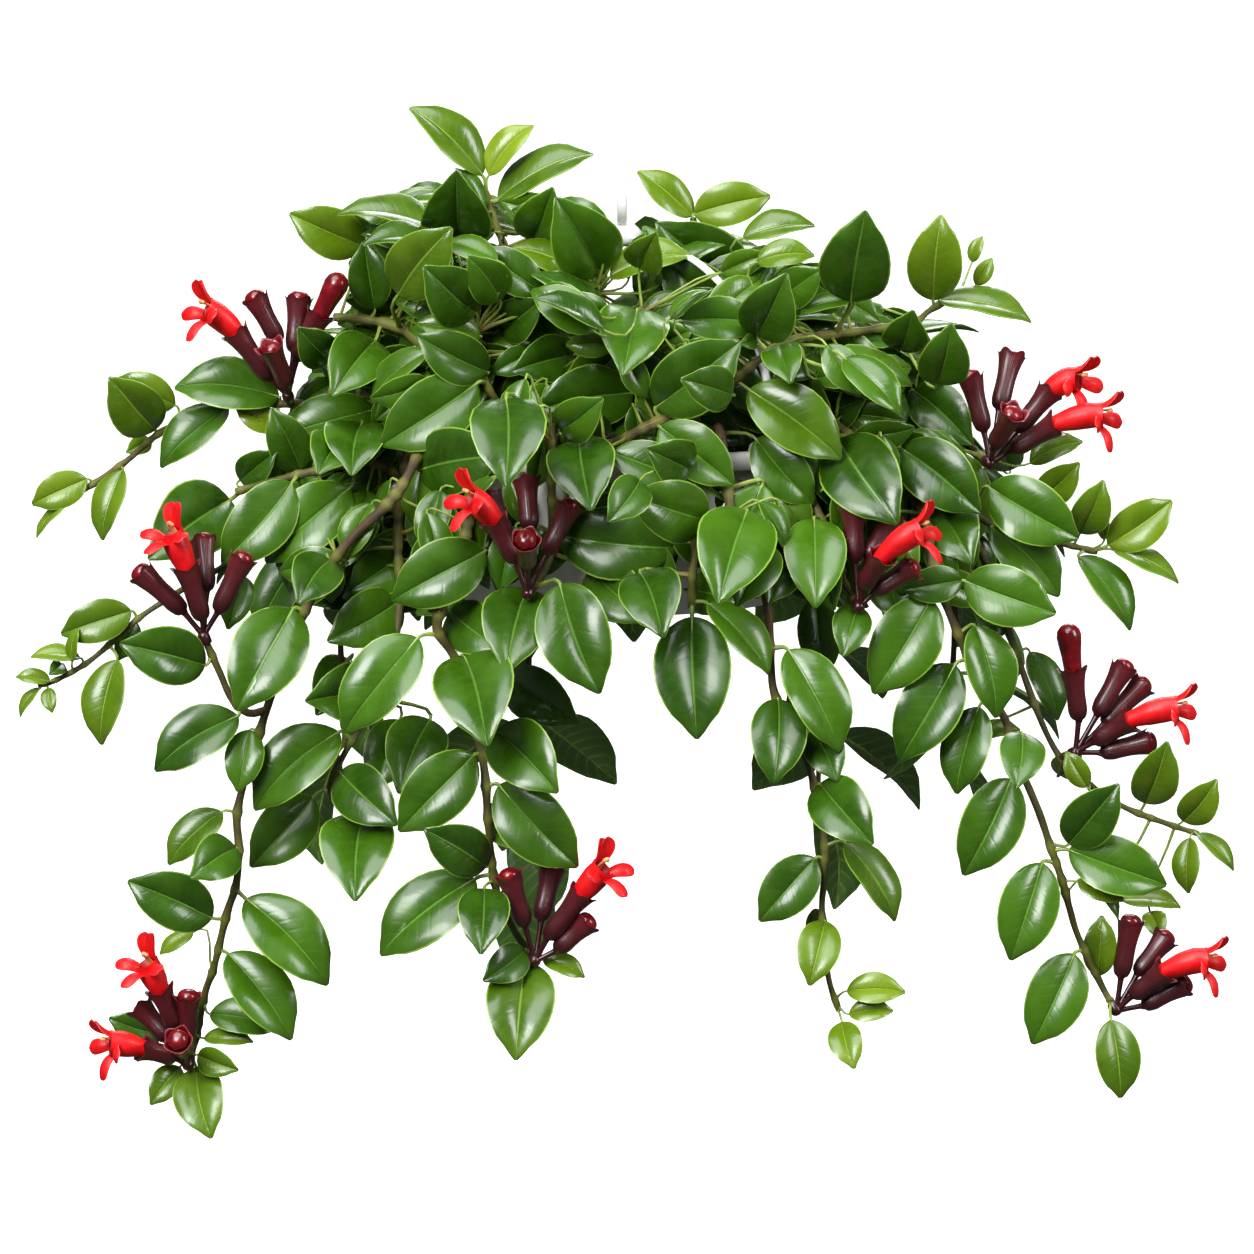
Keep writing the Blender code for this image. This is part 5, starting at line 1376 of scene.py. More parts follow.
def make_piece(name, surfaces, materials, slot_name, *node_names, sharp=55):
    """One object from stacked surfaces, riding on the body and standing for its solids."""
    starts = np.cumsum([0] + [len(s["points"]) for s in surfaces])
    points = np.vstack([s["points"] for s in surfaces]) + DROP
    faces = [[i + int(start) for i in face] for s, start in zip(surfaces, starts) for face in s["faces"]]
    mesh = bpy.data.meshes.new(name)
    mesh.from_pydata(points.tolist(), [], faces)
    index = np.repeat([s["material"] for s in surfaces], [len(s["faces"]) for s in surfaces])
    mesh.polygons.foreach_set("material_index", index.astype(np.int32))
    for key in sorted({key for s in surfaces for key in s["values"]}):
        stack = [s["values"].get(key, np.zeros(len(s["points"]))) for s in surfaces]
        attribute = mesh.attributes.new(key, "FLOAT", "POINT")
        attribute.data.foreach_set("value", np.concatenate(stack).astype(np.float32))
    turn_outwards(mesh)
    mesh.polygons.foreach_set("use_smooth", np.ones(len(mesh.polygons), bool))
    mesh.set_sharp_from_angle(angle=math.radians(sharp))
    for material in materials:
        mesh.materials.append(material)
    piece = put_in_scene(name, mesh)
    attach(piece, "root")
    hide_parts(*node_names)
    return piece


def turn_outwards(mesh):
    """Make every closed shell face outwards."""
    shells = bmesh.new()
    shells.from_mesh(mesh)
    bmesh.ops.recalc_face_normals(shells, faces=shells.faces)
    shells.to_mesh(mesh)
    shells.free()


print("faces of a tube of 3 rows and 6 columns:", len(loop_faces(3, 6)))

# %% [markdown]
# ## Leaf blades
# A blade is a curved sheet: one number runs along it and one across it. Its outline is a power of
# the distance from the foot times a power of the distance from the tip, its halves rise from the
# midrib and bend down again at the margin, and its tip turns down. All blades of a stem are
# worked out at once, each a little different.

# %% Blade surface
# Rows along the blade of a leaf that shows and of one inside the mound, then places across it.
FINE_ROWS = np.array([0, 0.015, 0.05, 0.1, 0.17, 0.26, 0.36, 0.46, 0.56, 0.66, 0.75, 0.83, 0.9,
                      0.955, 1.0])
FEW_ROWS = np.array([0, 0.04, 0.13, 0.27, 0.43, 0.6, 0.76, 0.9, 1.0])
BLADE_HALF = np.array([0, 0.15, 0.5, 0.84, 1.0])
BLADE_TOP = np.concatenate([-BLADE_HALF[:0:-1], BLADE_HALF])
# Once round the blade, over the top and back underneath, and whether a place is underneath.
BLADE_ROUND = np.concatenate([BLADE_TOP, BLADE_TOP[::-1]])
BLADE_BELOW = np.repeat([0.0, 1.0], len(BLADE_TOP))


def outline(u):
    """Share of the half width at u: u^0.6 (1-u)^0.72 scaled to 1, with a drawn-out tip."""
    share = 2.49 * u ** 0.6 * (1 - u) ** 0.72
    tip = 1 - 0.22 * np.exp(-((u - 0.93) / 0.06) ** 2)
    return np.maximum(share * tip, 0.0)


def leaf_arrays(rows):
    """Foot, three directions, length, half width and age of many leaves as arrays."""
    base, tip, face = [np.array([row[k] for row in rows]) for k in (1, 2, 3)]
    half, age = np.array([row[4] for row in rows]), np.array([row[6] for row in rows])
    length = np.linalg.norm(tip - base, axis=1)
    a = (tip - base) / length[:, None]
    n = face - a * (face * a).sum(axis=1, keepdims=True)
    n = n / np.linalg.norm(n, axis=1, keepdims=True)
    return base, a, np.cross(n, a), n, length, half, age


def blade_line(base, a, s, n, length, bow, u):
    """Middle line: foot + a L u + n L (4 ARCH u (1-u) - 0.06 u^6) + s L bow sin(pi u)."""
    rise = ARCH * 4 * u * (1 - u) - 0.06 * u ** 6
    way = a[:, None] * u[None, :, None] + n[:, None] * rise[None, :, None]
    way = way + s[:, None] * (bow[:, None] * np.sin(math.pi * u))[:, :, None]
    return base[:, None] + way * length[:, None, None]


def blade_surfaces(rows, seed, u):
    """Both skins of every blade: w v across and w (f (0.2 (1 - g) + 0.7 |v|) - 0.22 |v|^2.6) high.

    g is a bell curve round the midrib, which sinks it between the two rounded halves, and f says
    how far the blade is folded. A ripple of 0.05 w |v|^3 runs along both margins.
    """
    base, a, s, n, length, half, age = leaf_arrays(rows)
    rng = np.random.default_rng(seed)
    count = len(rows)
    bow, phase = rng.uniform(-0.035, 0.035, count), rng.uniform(0, 2 * math.pi, count)
    fold, tone = rng.uniform(0.34, 0.6, count), rng.uniform(0, 1, count)
    v, below = BLADE_ROUND, BLADE_BELOW
    wide = np.maximum(half[:, None] * outline(u)[None], np.minimum(0.7 * MM, half * 0.1)[:, None])
    bend = 0.2 * (1 - np.exp(-(v / 0.17) ** 2)) + 0.7 * np.abs(v)
    height = fold[:, None, None] * bend - 0.22 * (np.abs(v) ** 2.6)[None, None]
    ripple = np.sin(2 * math.pi * 1.6 * u[None, :] + phase[:, None])[:, :, None]
    height = height + 0.05 * ripple * np.sign(v) * np.abs(v) ** 3
    thick = (0.55 - 0.25 * v ** 2) * MM * np.minimum(1, 0.35 + wide / (3 * MM))[:, :, None]
    lift = wide[:, :, None] * height - thick * (below - 0.5)[None, None]
    line = blade_line(base, a, s, n, length, bow, u)
    points = line[:, :, None] + s[:, None, None] * (wide[:, :, None] * v)[..., None]
    points = points + n[:, None, None] * lift[..., None]
    values = dict(along=u[None, :, None], across=v[None, None], under=below[None, None],
                  age=age[:, None, None], tone=tone[:, None, None])
    return loop_surfaces(points, values), bow


# %% Leaf stalk and midrib
def stalk_surfaces(rows, bow, root):
    """A tube from the stem into the foot and on under the midrib, thinner towards the tip."""
    base, a, s, n, length, _, age = leaf_arrays(rows)
    gap = np.linalg.norm(base - root, axis=1)[:, None]
    t = np.array([0, 0.2, 0.45, 0.7, 0.9])[None, :, None]
    first, second = root + (base - root) * 0.4, base - a * gap * 0.35
    curve = ((1 - t) ** 3 * root[:, None] + 3 * (1 - t) ** 2 * t * first[:, None]
             + 3 * (1 - t) * t ** 2 * second[:, None] + t ** 3 * base[:, None])
    u = np.array([0.0, 0.1, 0.3, 0.55, 0.8])
    rib = blade_line(base, a, s, n, length, bow, u) - n[:, None] * 0.12 * MM
    path = np.concatenate([curve, rib], axis=1)
    radius = np.array([1.25, 1.0, 0.85, 0.8, 0.8, 0.75, 0.6, 0.45, 0.32, 0.2]) * MM
    radius = radius[None] * np.clip(length / (42 * MM), 0.55, 1.05)[:, None]
    heading = np.gradient(path, axis=1)
    heading = heading / np.linalg.norm(heading, axis=2, keepdims=True)
    side = s[:, None] - heading * (heading * s[:, None]).sum(axis=2, keepdims=True)
    side = side / np.maximum(np.linalg.norm(side, axis=2, keepdims=True), 1e-9)
    other = np.cross(heading, side)
    angle = np.arange(6) * math.pi / 3
    ring = side[:, :, None] * np.cos(angle)[:, None] + other[:, :, None] * np.sin(angle)[:, None]
    points = path[:, :, None] + ring * radius[..., None, None]
    along = np.linspace(0, 1, path.shape[1])[None, :, None]
    return loop_surfaces(points, dict(along=along, age=age[:, None, None]), material=1)


print("faces of one leaf:", len(loop_faces(len(FINE_ROWS), 2 * len(BLADE_TOP))),
      "and of one inside the mound:", len(loop_faces(len(FEW_ROWS), 2 * len(BLADE_TOP))))

# %% [markdown]
# ## Stems with their joints
# Each stem is a ring of points carried along its route. Where leaves leave it, the ring swells:
# the radius is multiplied by one plus a bell curve round each joint.

# %% Stem surface
STEM_RING = 10


def stem_surface(path, radii, joints, rising):
    """Ring of radius 0.86 r (1 + 0.38 bell), a little uneven, carried along without twist."""
    u, v = frames_along(path, np.array([0, 0, 1.0]) if rising else None)[1:]
    run = run_along(path)
    bell = np.exp(-((run[:, None] - joints[None]) / (2.0 * MM)) ** 2).max(axis=1, initial=0)
    uneven = 1 + 0.05 * np.sin(run / (5.3 * MM)) + 0.03 * np.sin(run / (2.1 * MM) + 1)
    radius = np.asarray(radii) * 0.86 * (1 + 0.38 * bell) * uneven
    young = np.clip((run / run[-1] - 0.35) / 0.6, 0, 1)
    values = dict(young=young[None, :, None], joint=bell[None, :, None],
                  around=mirrored_turn(STEM_RING)[None, None])
    return loop_surfaces(ring_points(path, radius, u, v, STEM_RING)[None], values)


def snapped_roots(rows, paths):
    """Move each leaf's root onto the fine stem; also give its stem and distance along it."""
    roots, where = [], []
    for row in rows:
        gaps = [np.linalg.norm(path - row[0], axis=1) for path in paths]
        best = int(np.argmin([gap.min() for gap in gaps]))
        place = int(np.argmin(gaps[best]))
        roots.append(paths[best][place])
        where.append((best, run_along(paths[best])[place]))
    return np.array(roots), where


def build_stem_pieces():
    """For every vine one piece of stem and one of leaves, unless it has none."""
    for name in dict.fromkeys(stem_names):
        own = [row for row in fine_stems if row[0] == name]
        number = stem_names.index(name)
        shown = [leaf for leaf in leaves[:found_count] if leaf[5] == number]
        inner = [leaf for leaf in leaves[found_count:] if leaf[5] == number]
        rows = shown + inner
        paths = [row[1] for row in own]
        roots, where = snapped_roots(rows, paths) if rows else (None, [])
        tubes = []
        for order, (_, path, radii) in enumerate(own):
            joints = np.array([run for stem, run in where if stem == order])
            rising = abs(path[0][2] / MM - SOIL_TOP) < 1e-3
            tubes.append(stem_surface(path, radii, joints, rising))
        make_piece(name + "_stem", tubes, [STEM_BARK], "leaf_green", name)
        if rows:
            made = [blade_surfaces(group, seed, u) for group, seed, u in
                    ((shown, number + 5, FINE_ROWS), (inner, number + 105, FEW_ROWS)) if group]
            stalks = stalk_surfaces(rows, np.concatenate([bow for blades, bow in made]), roots)
            make_piece(name + "_leaves", [blades for blades, bow in made] + [stalks],
                       [LEAF_SKIN, LEAF_STALK], "leaf_green", name)
    return len(leaves)


print("leaves made:", build_stem_pieces())

# %% [markdown]
# ## Flower clusters
# A calyx is a cup of five joined sepals: a ring carried along an axis, with five ribs, whose mouth
# rises and curls out in five lobes and goes on down inside. A bud stands in it as a smooth dome.

# %% Cluster rows
# Flower clusters: the vine that carries it and which end of it, then one row per calyx:
# mouth x, mouth y, foot x, foot y, nearer by mm at the mouth, kind, throat or bud tip x, y.
CLUSTERS = {
    "cluster_top_left": ("vine_reach_left", 1, [
        (255, 298, 279, 342, 2, "bud"), (235, 332, 270, 379, 6, "flower", 206, 309),
        (270, 346, 288, 386, 16, "open"), (299, 299, 294, 352, -2, "bud"),
        (320, 315, 296, 360, 6, "club", 345, 277)]),
    "cluster_left": ("vine_trail_left", 1, [
        (141, 573, 184, 612, 2, "bud"), (186, 567, 203, 620, 8, "flower", 171, 533),
        (203, 541, 207, 590, -10, "bud"), (243, 559, 218, 612, 2, "bud")]),
    "cluster_centre": ("vine_flower_centre", 0, [
        (526, 480, 530, 530, -6, "open"), (570, 507, 547, 554, 0, "bud"),
        (526, 540, 527, 566, 22, "bud"), (494, 521, 516, 562, 6, "flower", 470, 498),
        (492, 497, 510, 540, -14, "small")]),
    "cluster_right": ("vine_flower_right", 0, [
        (853, 510, 855, 562, -2, "bud"), (891, 518, 868, 560, -8, "open"),
        (883, 556, 862, 588, 12, "flower", 921, 530), (912, 568, 874, 592, 4, "bud")]),
    "cluster_shoulder": ("vine_shoulder_right", 0, [
        (970, 377, 984, 431, 0, "bud"), (1012, 355, 999, 409, -8, "open"),
        (1050, 391, 1017, 431, 0, "flower", 1079, 379), (1014, 412, 994, 446, 18, "open"),
        (1056, 424, 1012, 450, 8, "flower", 1103, 415)]),
    "cluster_fork": ("vine_fork_right", 1, [
        (1073, 670, 1079, 720, 4, "club", 1062, 630), (1124, 667, 1097, 715, -2, "bud"),
        (1142, 685, 1104, 724, -10, "bud"), (1130, 720, 1094, 742, 8, "flower", 1178, 708),
        (1149, 742, 1101, 753, 2, "bud")]),
    "cluster_low_centre": ("vine_trail_centre_left", 0, [
        (509, 876, 525, 926, 6, "bud"), (552, 870, 541, 920, -4, "bud"),
        (582, 893, 547, 938, 6, "flower", 604, 868), (587, 922, 556, 951, 2, "bud")]),
    "cluster_low_right": ("vine_trail_right", 0, [
        (1131, 922, 1121, 977, 2, "bud"), (1165, 938, 1137, 974, -6, "bud"),
        (1165, 971, 1132, 996, 8, "flower", 1208, 960), (1184, 984, 1143, 1006, 0, "bud")]),
    "cluster_low_left": ("vine_trail_left", 0, [
        (160, 990, 176, 1028, 6, "flower", 146, 963), (140, 1007, 170, 1040, -4, "open"),
        (188, 997, 188, 1039, 6, "bud"), (178, 1040, 185, 1052, 20, "bud"),
        (142, 1048, 176, 1058, 6, "flower", 110, 1043)]),
}
# The share of a calyx's length at which its hollow ends.
CAVITY = 0.45


def calyx_line(base_depth, row):
    """Foot and mouth points of one calyx."""
    x, y, foot_x, foot_y, nearer, kind = row[:6]
    mouth = at(x, y, base_depth - nearer)
    foot = at(foot_x, foot_y, base_depth - 0.35 * nearer)
    return foot, mouth, kind


def cluster_start(vine, which):
    """The end of the stem that carries a cluster, and the direction in which it ends."""
    path = [row[1] for row in coarse_stems if row[0] == vine][which]
    return path[-1], frames_along(path)[0][-1]


# Outer wall, lip and inner wall of a calyx: share of the length, then mm past it, radius in mm,
# share of the five-lobed rise, inside, lip.
CALYX_WALL = np.array([
    (0.0, -1.0, 1.05, 0, 0, 0), (0.0, -0.1, 1.5, 0, 0, 0), (0.0, 0.6, 2.5, 0, 0, 0),
    (0.0, 1.6, 3.15, 0, 0, 0), (0.08, 1.6, 3.55, 0, 0, 0), (0.24, 0, 3.65, 0, 0, 0),
    (0.4, 0, 3.55, 0, 0, 0), (0.58, 0, 3.6, 0, 0, 0), (0.74, 0, 3.95, 0, 0, 0),
    (0.88, 0, 4.5, 0.2, 0, 0), (0.96, 0, 4.95, 0.55, 0, 0), (1.0, 0.15, 5.35, 0.9, 0, 0.1),
    (1.0, 0.35, 5.6, 1, 0, 1), (1.0, 0.3, 5.35, 1, 0.5, 1), (1.0, -0.1, 4.85, 0.8, 1, 0),
    (0.95, 0, 4.35, 0.4, 1, 0), (0.84, 0, 3.9, 0.1, 1, 0), (0.62, 0, 3.2, 0, 1, 0),
    (0.46, 0, 2.6, 0, 1, 0), (0.45, 0, 1.0, 0, 1, 0),
])
CALYX_RING = 30


def calyx_surface(foot, mouth, size, open_mouth):
    """Ring radius r (1 + (0.03 + 0.05 share) cos 5t), pushed along the axis by the share of cos 5t."""
    axis = unit(mouth - foot)
    length = np.linalg.norm(mouth - foot)
    side = first_side(axis)
    other, angle = np.cross(axis, side), full_turn(CALYX_RING)
    lobe = np.cos(5 * angle)
    share, past, radius, rise, inside, lip = CALYX_WALL.T
    flare = np.where(share + past > 0.95, open_mouth, 1.0)
    radius = radius * size * flare
    out = radius[:, None] * (1 + (0.03 + 0.05 * rise[:, None]) * lobe[None]) * MM
    along = share * length + past * MM
    along = along[:, None] + rise[:, None] * lobe[None] * 0.85 * MM * size
    ring = np.cos(angle)[:, None] * side + np.sin(angle)[:, None] * other
    points = foot + along[..., None] * axis + out[..., None] * ring[None]
    values = dict(along=share[None, :, None], inside=inside[None, :, None], lip=lip[None, :, None],
                  around=mirrored_turn(CALYX_RING)[None, None])
    return loop_surfaces(points[None], values)


def bud_surface(mouth, axis, rows):
    """A dome: radii in mm at steps in mm along the axis."""
    steps, radii = np.array(rows).T * MM
    return round_tube(mouth + steps[:, None] * axis, radii, 18, {}, material=1)


# Buds as steps from the calyx's mouth and radii there, in millimetres: closed, and grown out.
BUD_DOME = [(-6, 2.0), (-3, 3.4), (-1, 4.0), (0.4, 4.1), (1.5, 3.7), (2.3, 2.9), (2.8, 1.9), (3.0, 0.6)]
CLUB_BUD = [(-6, 2.2), (-2, 3.2), (2, 3.5), (6, 3.8), (10, 4.4), (13, 4.7), (15.2, 4.2), (16.8, 2.8),
            (17.6, 1.2), (17.8, 0.3)]


def build_clusters():
    """A swollen end, straight stalks, a calyx on each, and buds where they are closed."""
    made = []
    for name, (vine, which, rows) in CLUSTERS.items():
        end, heading = cluster_start(vine, which)
        start = end + heading * GAP
        hub = start + heading * 3.0 * MM
        depth = seen_from(hub)[2]
        knob = start + heading * np.array([-0.3, 0.6, 2.0, 3.2, 4.2, 4.8])[:, None] * MM
        surfaces = [round_tube(knob, np.array([0.9, 1, 1, 1, 0.8, 0.4]) * 2.3 * MM, 12, {})]
        buds = []
        for row in rows:
            foot, mouth, kind = calyx_line(depth, row)
            axis = unit(mouth - foot)
            stalk = np.linspace(0, 1, 5)[:, None] * (foot + axis * 0.6 * MM - hub) + hub
            surfaces.append(round_tube(stalk, np.array([1.2, 1.05, 1, 1.05, 1.3]) * MM, 10, {}))
            size = 0.76 if kind == "small" else 1.0
            surfaces.append(calyx_surface(foot, mouth, size, 0.97 if kind == "bud" else 1.0))
            if kind in ("bud", "small", "open"):
                sunk = 1.6 if kind == "open" else 0.0
                dome = [((step - sunk) * size, r * size * 0.99) for step, r in BUD_DOME]
                buds.append(bud_surface(mouth, axis, dome))
            elif kind == "club":
                buds.append(bud_surface(mouth, axis, CLUB_BUD))
            made.append((name, foot, mouth, kind, row, depth))
        make_piece(name + "_calyces", surfaces + buds, [CALYX_MAROON, BUD_RED], "calyx_maroon", name)
    return made


calyces = build_clusters()
print("calyces:", len(calyces), "in", len(CLUSTERS), "clusters")

# %% [markdown]
# ## Open flowers
# The corolla is a curved tube that swells towards its mouth and splits into five lobes: two stand
# forward over the throat and three turn back. The tube is a ring carried along a curve and back
# down inside itself. A lobe is a small blade with a round end, bent back along its length.

# %% Corolla surface
LOBE_ROWS = np.array([0, 0.12, 0.28, 0.45, 0.62, 0.78, 0.9, 0.97, 1.0])
PETAL_RING = 24
# Places along the tube as shares of its length, and its radius in millimetres at each.
TUBE_PLACES = [0, 0.3, 0.42, 0.6, 0.8, 0.93, 1]
TUBE_RADII = [2.2, 3.1, 3.5, 4.5, 4.9, 4.6, 4.9]


def throat_frame(axis):
    """The directions up and sideways, square to a flower's axis."""
    up = unit(np.array([0, 0, 1.0]) - axis * axis[2])
    return up, np.cross(axis, up)


def corolla_tube(foot, mouth, throat):
    """Outer wall from the calyx to the throat, then the inner wall back down."""
    axis = unit(mouth - foot)
    length = np.linalg.norm(mouth - foot)
    inner = foot + axis * (length * CAVITY + 0.4 * MM)
    bend = 0.5 * (mouth + throat) + axis * 2.5 * MM
    line = smooth_path([inner, mouth, bend, throat], 1.6 * MM)
    run = run_along(line) / run_along(line)[-1]
    radii = np.interp(run, TUBE_PLACES, TUBE_RADII) * MM
    back = line[::-1][:max(4, len(line) // 3)]
    hollow = np.interp(np.linspace(0, 1, len(back)), [0, 0.3, 1], [4.6, 3.8, 2.0]) * MM
    path, radius = np.vstack([line, back]), np.r_[radii, hollow]
    heading, u, v = frames_along(line)
    u, v = np.vstack([u, u[::-1][:len(back)]]), np.vstack([v, v[::-1][:len(back)]])
    points = ring_points(path, radius, u, v, PETAL_RING)
    inside = np.r_[np.zeros(len(line)), np.ones(len(back))]
    values = dict(along=np.r_[run * 0.2, np.zeros(len(back))][None, :, None],
                  across=np.zeros(PETAL_RING)[None, None], inside=inside[None, :, None])
    return loop_surfaces(points[None], values), heading[-1]


# How far each lobe points forward, up and sideways, its length and half width in mm, and its curl.
LOBES = [
    (1.25, 0.8, 0.2, 10.5, 3.5, 0.08), (1.25, 0.8, -0.2, 10.5, 3.5, 0.08),
    (0.9, -0.35, 1.0, 9.0, 3.2, -0.26), (0.9, -0.35, -1.0, 9.0, 3.2, -0.26),
    (0.8, -1.0, 0.0, 10.5, 3.4, -0.32),
]


def lobe_surfaces(throat, axis):
    """Five lobes: half width h (0.62 + 0.9 u - 0.5 u^2) sqrt(1 - u^6), bent back by curl u^2.5.

    Their edges are rolled by 0.35 w v^2, or by -0.4 w v^2 on the three that turn back.
    """
    up, side = throat_frame(axis)
    u, v, below = LOBE_ROWS, BLADE_ROUND, BLADE_BELOW
    sheets = []
    for along, over, out, long, half, curl in LOBES:
        a = unit(axis * along + up * over + side * out)
        ring = unit(up * over + side * out)
        base = throat + ring * 3.7 * MM - axis * 1.6 * MM
        n = unit(axis - a * (axis @ a)) if curl < 0 else unit(-ring + a * (ring @ a))
        s = np.cross(n, a)
        wide = half * MM * (0.62 + 0.9 * u - 0.5 * u ** 2) * np.sqrt(np.maximum(1 - u ** 6, 0.004))
        rise = long * MM * (0.1 * np.sin(math.pi * u) + curl * u ** 2.5)
        line = base + a * long * MM * u[:, None] + n * rise[:, None]
        roll = -0.4 if curl < 0 else 0.35
        thick = 0.6 * MM * (below - 0.5)[None] * (1.1 - 0.6 * v ** 2)
        cup = wide[:, None] * (roll * v ** 2)[None] - thick
        points = line[:, None] + s * (wide[:, None] * v[None])[..., None] + n * cup[..., None]
        values = dict(along=u[None, :, None], across=v[None, None], inside=np.zeros(1)[None, None])
        sheets.append(loop_surfaces(points[None], values))
    return sheets


def stamen_surfaces(throat, axis):
    """Four thin filaments that lean together over the throat, each with a small anther."""
    up, side = throat_frame(axis)
    made = []
    for spread in (-1.0, -0.35, 0.35, 1.0):
        start = throat - axis * 6 * MM + (side * spread * 1.6 + up * 0.8) * MM
        end = throat + axis * (3.4 - 0.8 * abs(spread)) * MM + (side * spread * 0.8 + up * 1.6) * MM
        line = smooth_path([start, 0.5 * (start + end) + up * 0.6 * MM, end], 1.5 * MM)
        made.append(round_tube(line, np.full(len(line), 0.32 * MM), 6, {}, material=1))
        grain = end + axis * np.array([-0.7, -0.4, 0.2, 0.8, 1.1])[:, None] * MM
        made.append(round_tube(grain, np.array([0.25, 0.7, 0.85, 0.6, 0.15]) * MM, 8, {}, material=1))
    return made


def build_corollas():
    """One piece for each open flower."""
    numbers = {}
    for name, foot, mouth, kind, row, depth in calyces:
        if kind != "flower":
            continue
        numbers[name] = numbers.get(name, 0) + 1
        throat = at(row[6], row[7], depth - row[4] - 3)
        body, axis = corolla_tube(foot, mouth, throat)
        mouth_way = unit(axis - AHEAD * 0.45)
        sheets = lobe_surfaces(throat, mouth_way)
        label = f"{name.replace('cluster', 'flower')}_{numbers[name]}"
        make_piece(label + "_corolla", [body] + sheets + stamen_surfaces(throat, mouth_way),
                   [PETAL_SCARLET, STAMEN_CREAM], "petal_scarlet", label)
    return sum(numbers.values())


print("open flowers:", build_corollas())

# %% [markdown]
# ## Pot, soil and hanger
# The bowl is a profile turned about its axis, the hanger's straps are a flat rounded section
# carried along an arc, and its ring is a rounded section turned about the bore. The solids have
# few flats, so finer pieces with the same outlines stand for them. The soil keeps its solid.

# %% Turned and swept pieces
# The bowl's wall as radius and height in millimetres: up outside, over the rim and down inside.
POT_PROFILE = [
    (62, 0), (73, 14), (80, 34), (83.5, 55), (87, 56), (87.5, 61), (86, 62.5),
    (82.5, 62.5), (81.5, 60), (78, 36), (71, 16.5), (60, 3.2),
]
# The hanger's straps: their directions in degrees, then radius and height in millimetres.
ARM_AZIMUTHS = {"hanger_arm_front": -51.5, "hanger_arm_back": 71.0, "hanger_arm_left": 177.0}
ARM_ROUTE = [(90.0, 50.0), (91.0, 57.0), (90.6, 66.0), (88.0, 82.0), (80.0, 102.0), (62.0, 121.0),
             (38.0, 132.5), (8.6, 137.0)]
RIM_HOOK = [(90.0, 50.5), (90.2, 62.0), (88.8, 65.2), (84.0, 65.2), (80.2, 64.0), (79.2, 58.0)]


HOOP_STEPS, SECTION_STEPS, CORNER_CUT = 48, 16, 0.22


def blunt(share):
    """The share to the power 0.6, with its sign, which squares off a round section."""
    return np.sign(share) * np.abs(share) ** 0.6


def rim_point(azimuth, radius, height):
    """A point in millimetres round the pot's axis, in metres."""
    angle = math.radians(azimuth)
    return np.array([radius * math.cos(angle), radius * math.sin(angle), height]) * MM


def turned_surface(profile_mm, ring):
    """A profile of radius and height turned about the Z axis, closed at both ends."""
    radius, height = np.array(profile_mm, float).T * MM
    angle = full_turn(ring)
    points = np.stack([np.outer(radius, np.cos(angle)), np.outer(radius, np.sin(angle)),
                       np.repeat(height[:, None], ring, axis=1)], axis=2)
    return loop_surfaces(points[None], {})


def softened(profile):
    """Cut each inner corner of a profile twice, a little before and a little after it."""
    p = np.array(profile, float)
    before = p[1:-1] + (p[:-2] - p[1:-1]) * CORNER_CUT
    after = p[1:-1] + (p[2:] - p[1:-1]) * CORNER_CUT
    inner = np.stack([before, after], axis=1).reshape(-1, 2)
    return np.vstack([p[:1], inner, p[-1:]])


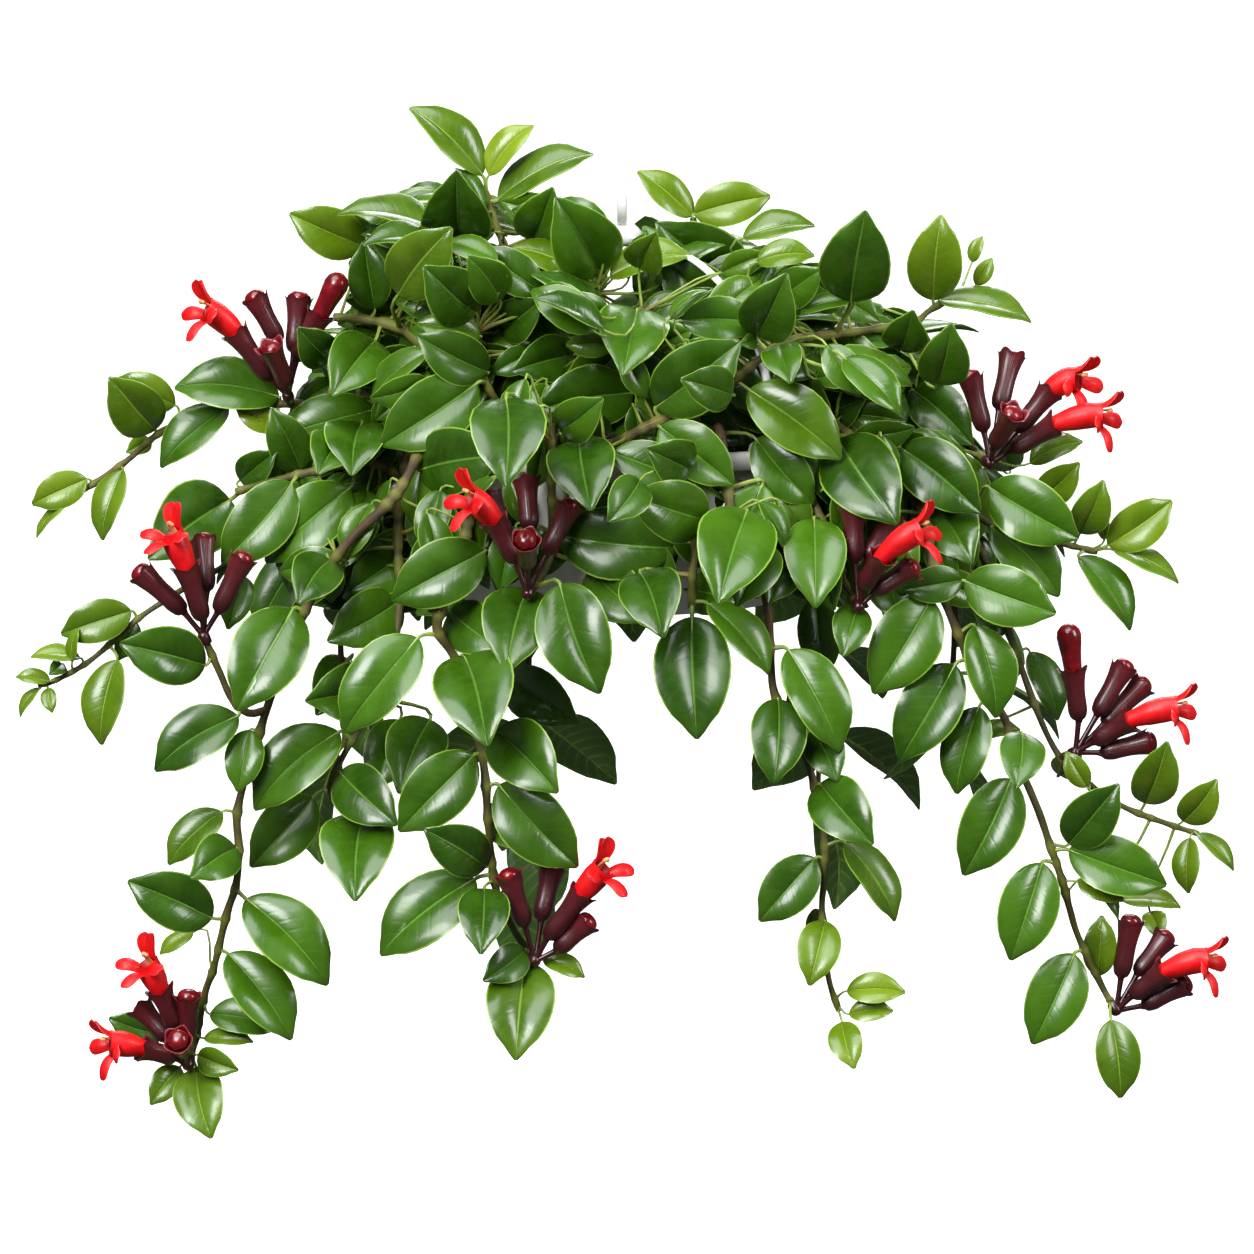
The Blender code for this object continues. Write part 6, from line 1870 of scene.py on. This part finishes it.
def strap_surface(spine, azimuth, wide, thick):
    """A flat section with round edges, (cos^0.6, sin^0.6) in shape, carried along a spine."""
    angle_out = math.radians(azimuth)
    across = np.array([-math.sin(angle_out), math.cos(angle_out), 0])
    heading = np.gradient(spine, axis=0)
    heading = heading / np.linalg.norm(heading, axis=1, keepdims=True)
    normal = np.cross(heading, across)
    angle = (np.arange(SECTION_STEPS) + 0.5) * 2 * math.pi / SECTION_STEPS
    x, y = blunt(np.cos(angle)) * wide, blunt(np.sin(angle)) * thick
    points = spine[:, None] + across * x[:, None] + normal[:, None] * y[:, None]
    return loop_surfaces(points[None], {})


def ring_surface(bore, outer, half):
    """A rounded section turned about the X axis through the ring's centre."""
    angle, section = full_turn(HOOP_STEPS), full_turn(SECTION_STEPS)
    middle, deep = 0.5 * (bore + outer), 0.5 * (outer - bore)
    radius, x = middle + deep * blunt(np.cos(section)), half * blunt(np.sin(section))
    points = np.stack([np.broadcast_to(x, (HOOP_STEPS, SECTION_STEPS)), np.outer(np.sin(angle), radius),
                       np.outer(np.cos(angle), radius) + RING_CENTRE], axis=2)
    faces = loop_faces(HOOP_STEPS + 1, SECTION_STEPS) % (HOOP_STEPS * SECTION_STEPS)
    return dict(points=points.reshape(-1, 3), faces=faces.tolist(), values={}, material=0)


def build_made_pieces():
    """Bowl, crown with its ring, and the three straps; the soil's own solid gets its material."""
    make_piece("pot_bowl", [turned_surface(softened(POT_PROFILE), 96)], [POT_WHITE], "pot_white", "pot",
               sharp=40)
    crown = turned_surface(softened([(6.2, 134.0), (8.0, 135.2), (8.0, 139.0), (5.0, 142.0)]), 32)
    bore = HANGING_POINT - RING_CENTRE
    make_piece("hanger_crown", [crown, ring_surface(bore, 11.0 * MM, 1.9 * MM)], [HANGER_WHITE],
               "hanger_white", "hanger_hook")
    for name, azimuth in ARM_AZIMUTHS.items():
        spine = smooth_path([rim_point(azimuth, r, h) for r, h in ARM_ROUTE], 4 * MM)
        hook = smooth_path([rim_point(azimuth, r, h) for r, h in RIM_HOOK], 1.6 * MM)
        surfaces = [strap_surface(spine, azimuth, 1.9 * MM, 0.8 * MM),
                    strap_surface(hook, azimuth, 3.4 * MM, 0.75 * MM)]
        make_piece(name + "_strap", surfaces, [HANGER_WHITE], "hanger_white", name)
    nodes["soil"].data.materials.clear()
    nodes["soil"].data.materials.append(SOIL_BROWN)
    return 2 + len(ARM_AZIMUTHS)


print("made pieces:", build_made_pieces())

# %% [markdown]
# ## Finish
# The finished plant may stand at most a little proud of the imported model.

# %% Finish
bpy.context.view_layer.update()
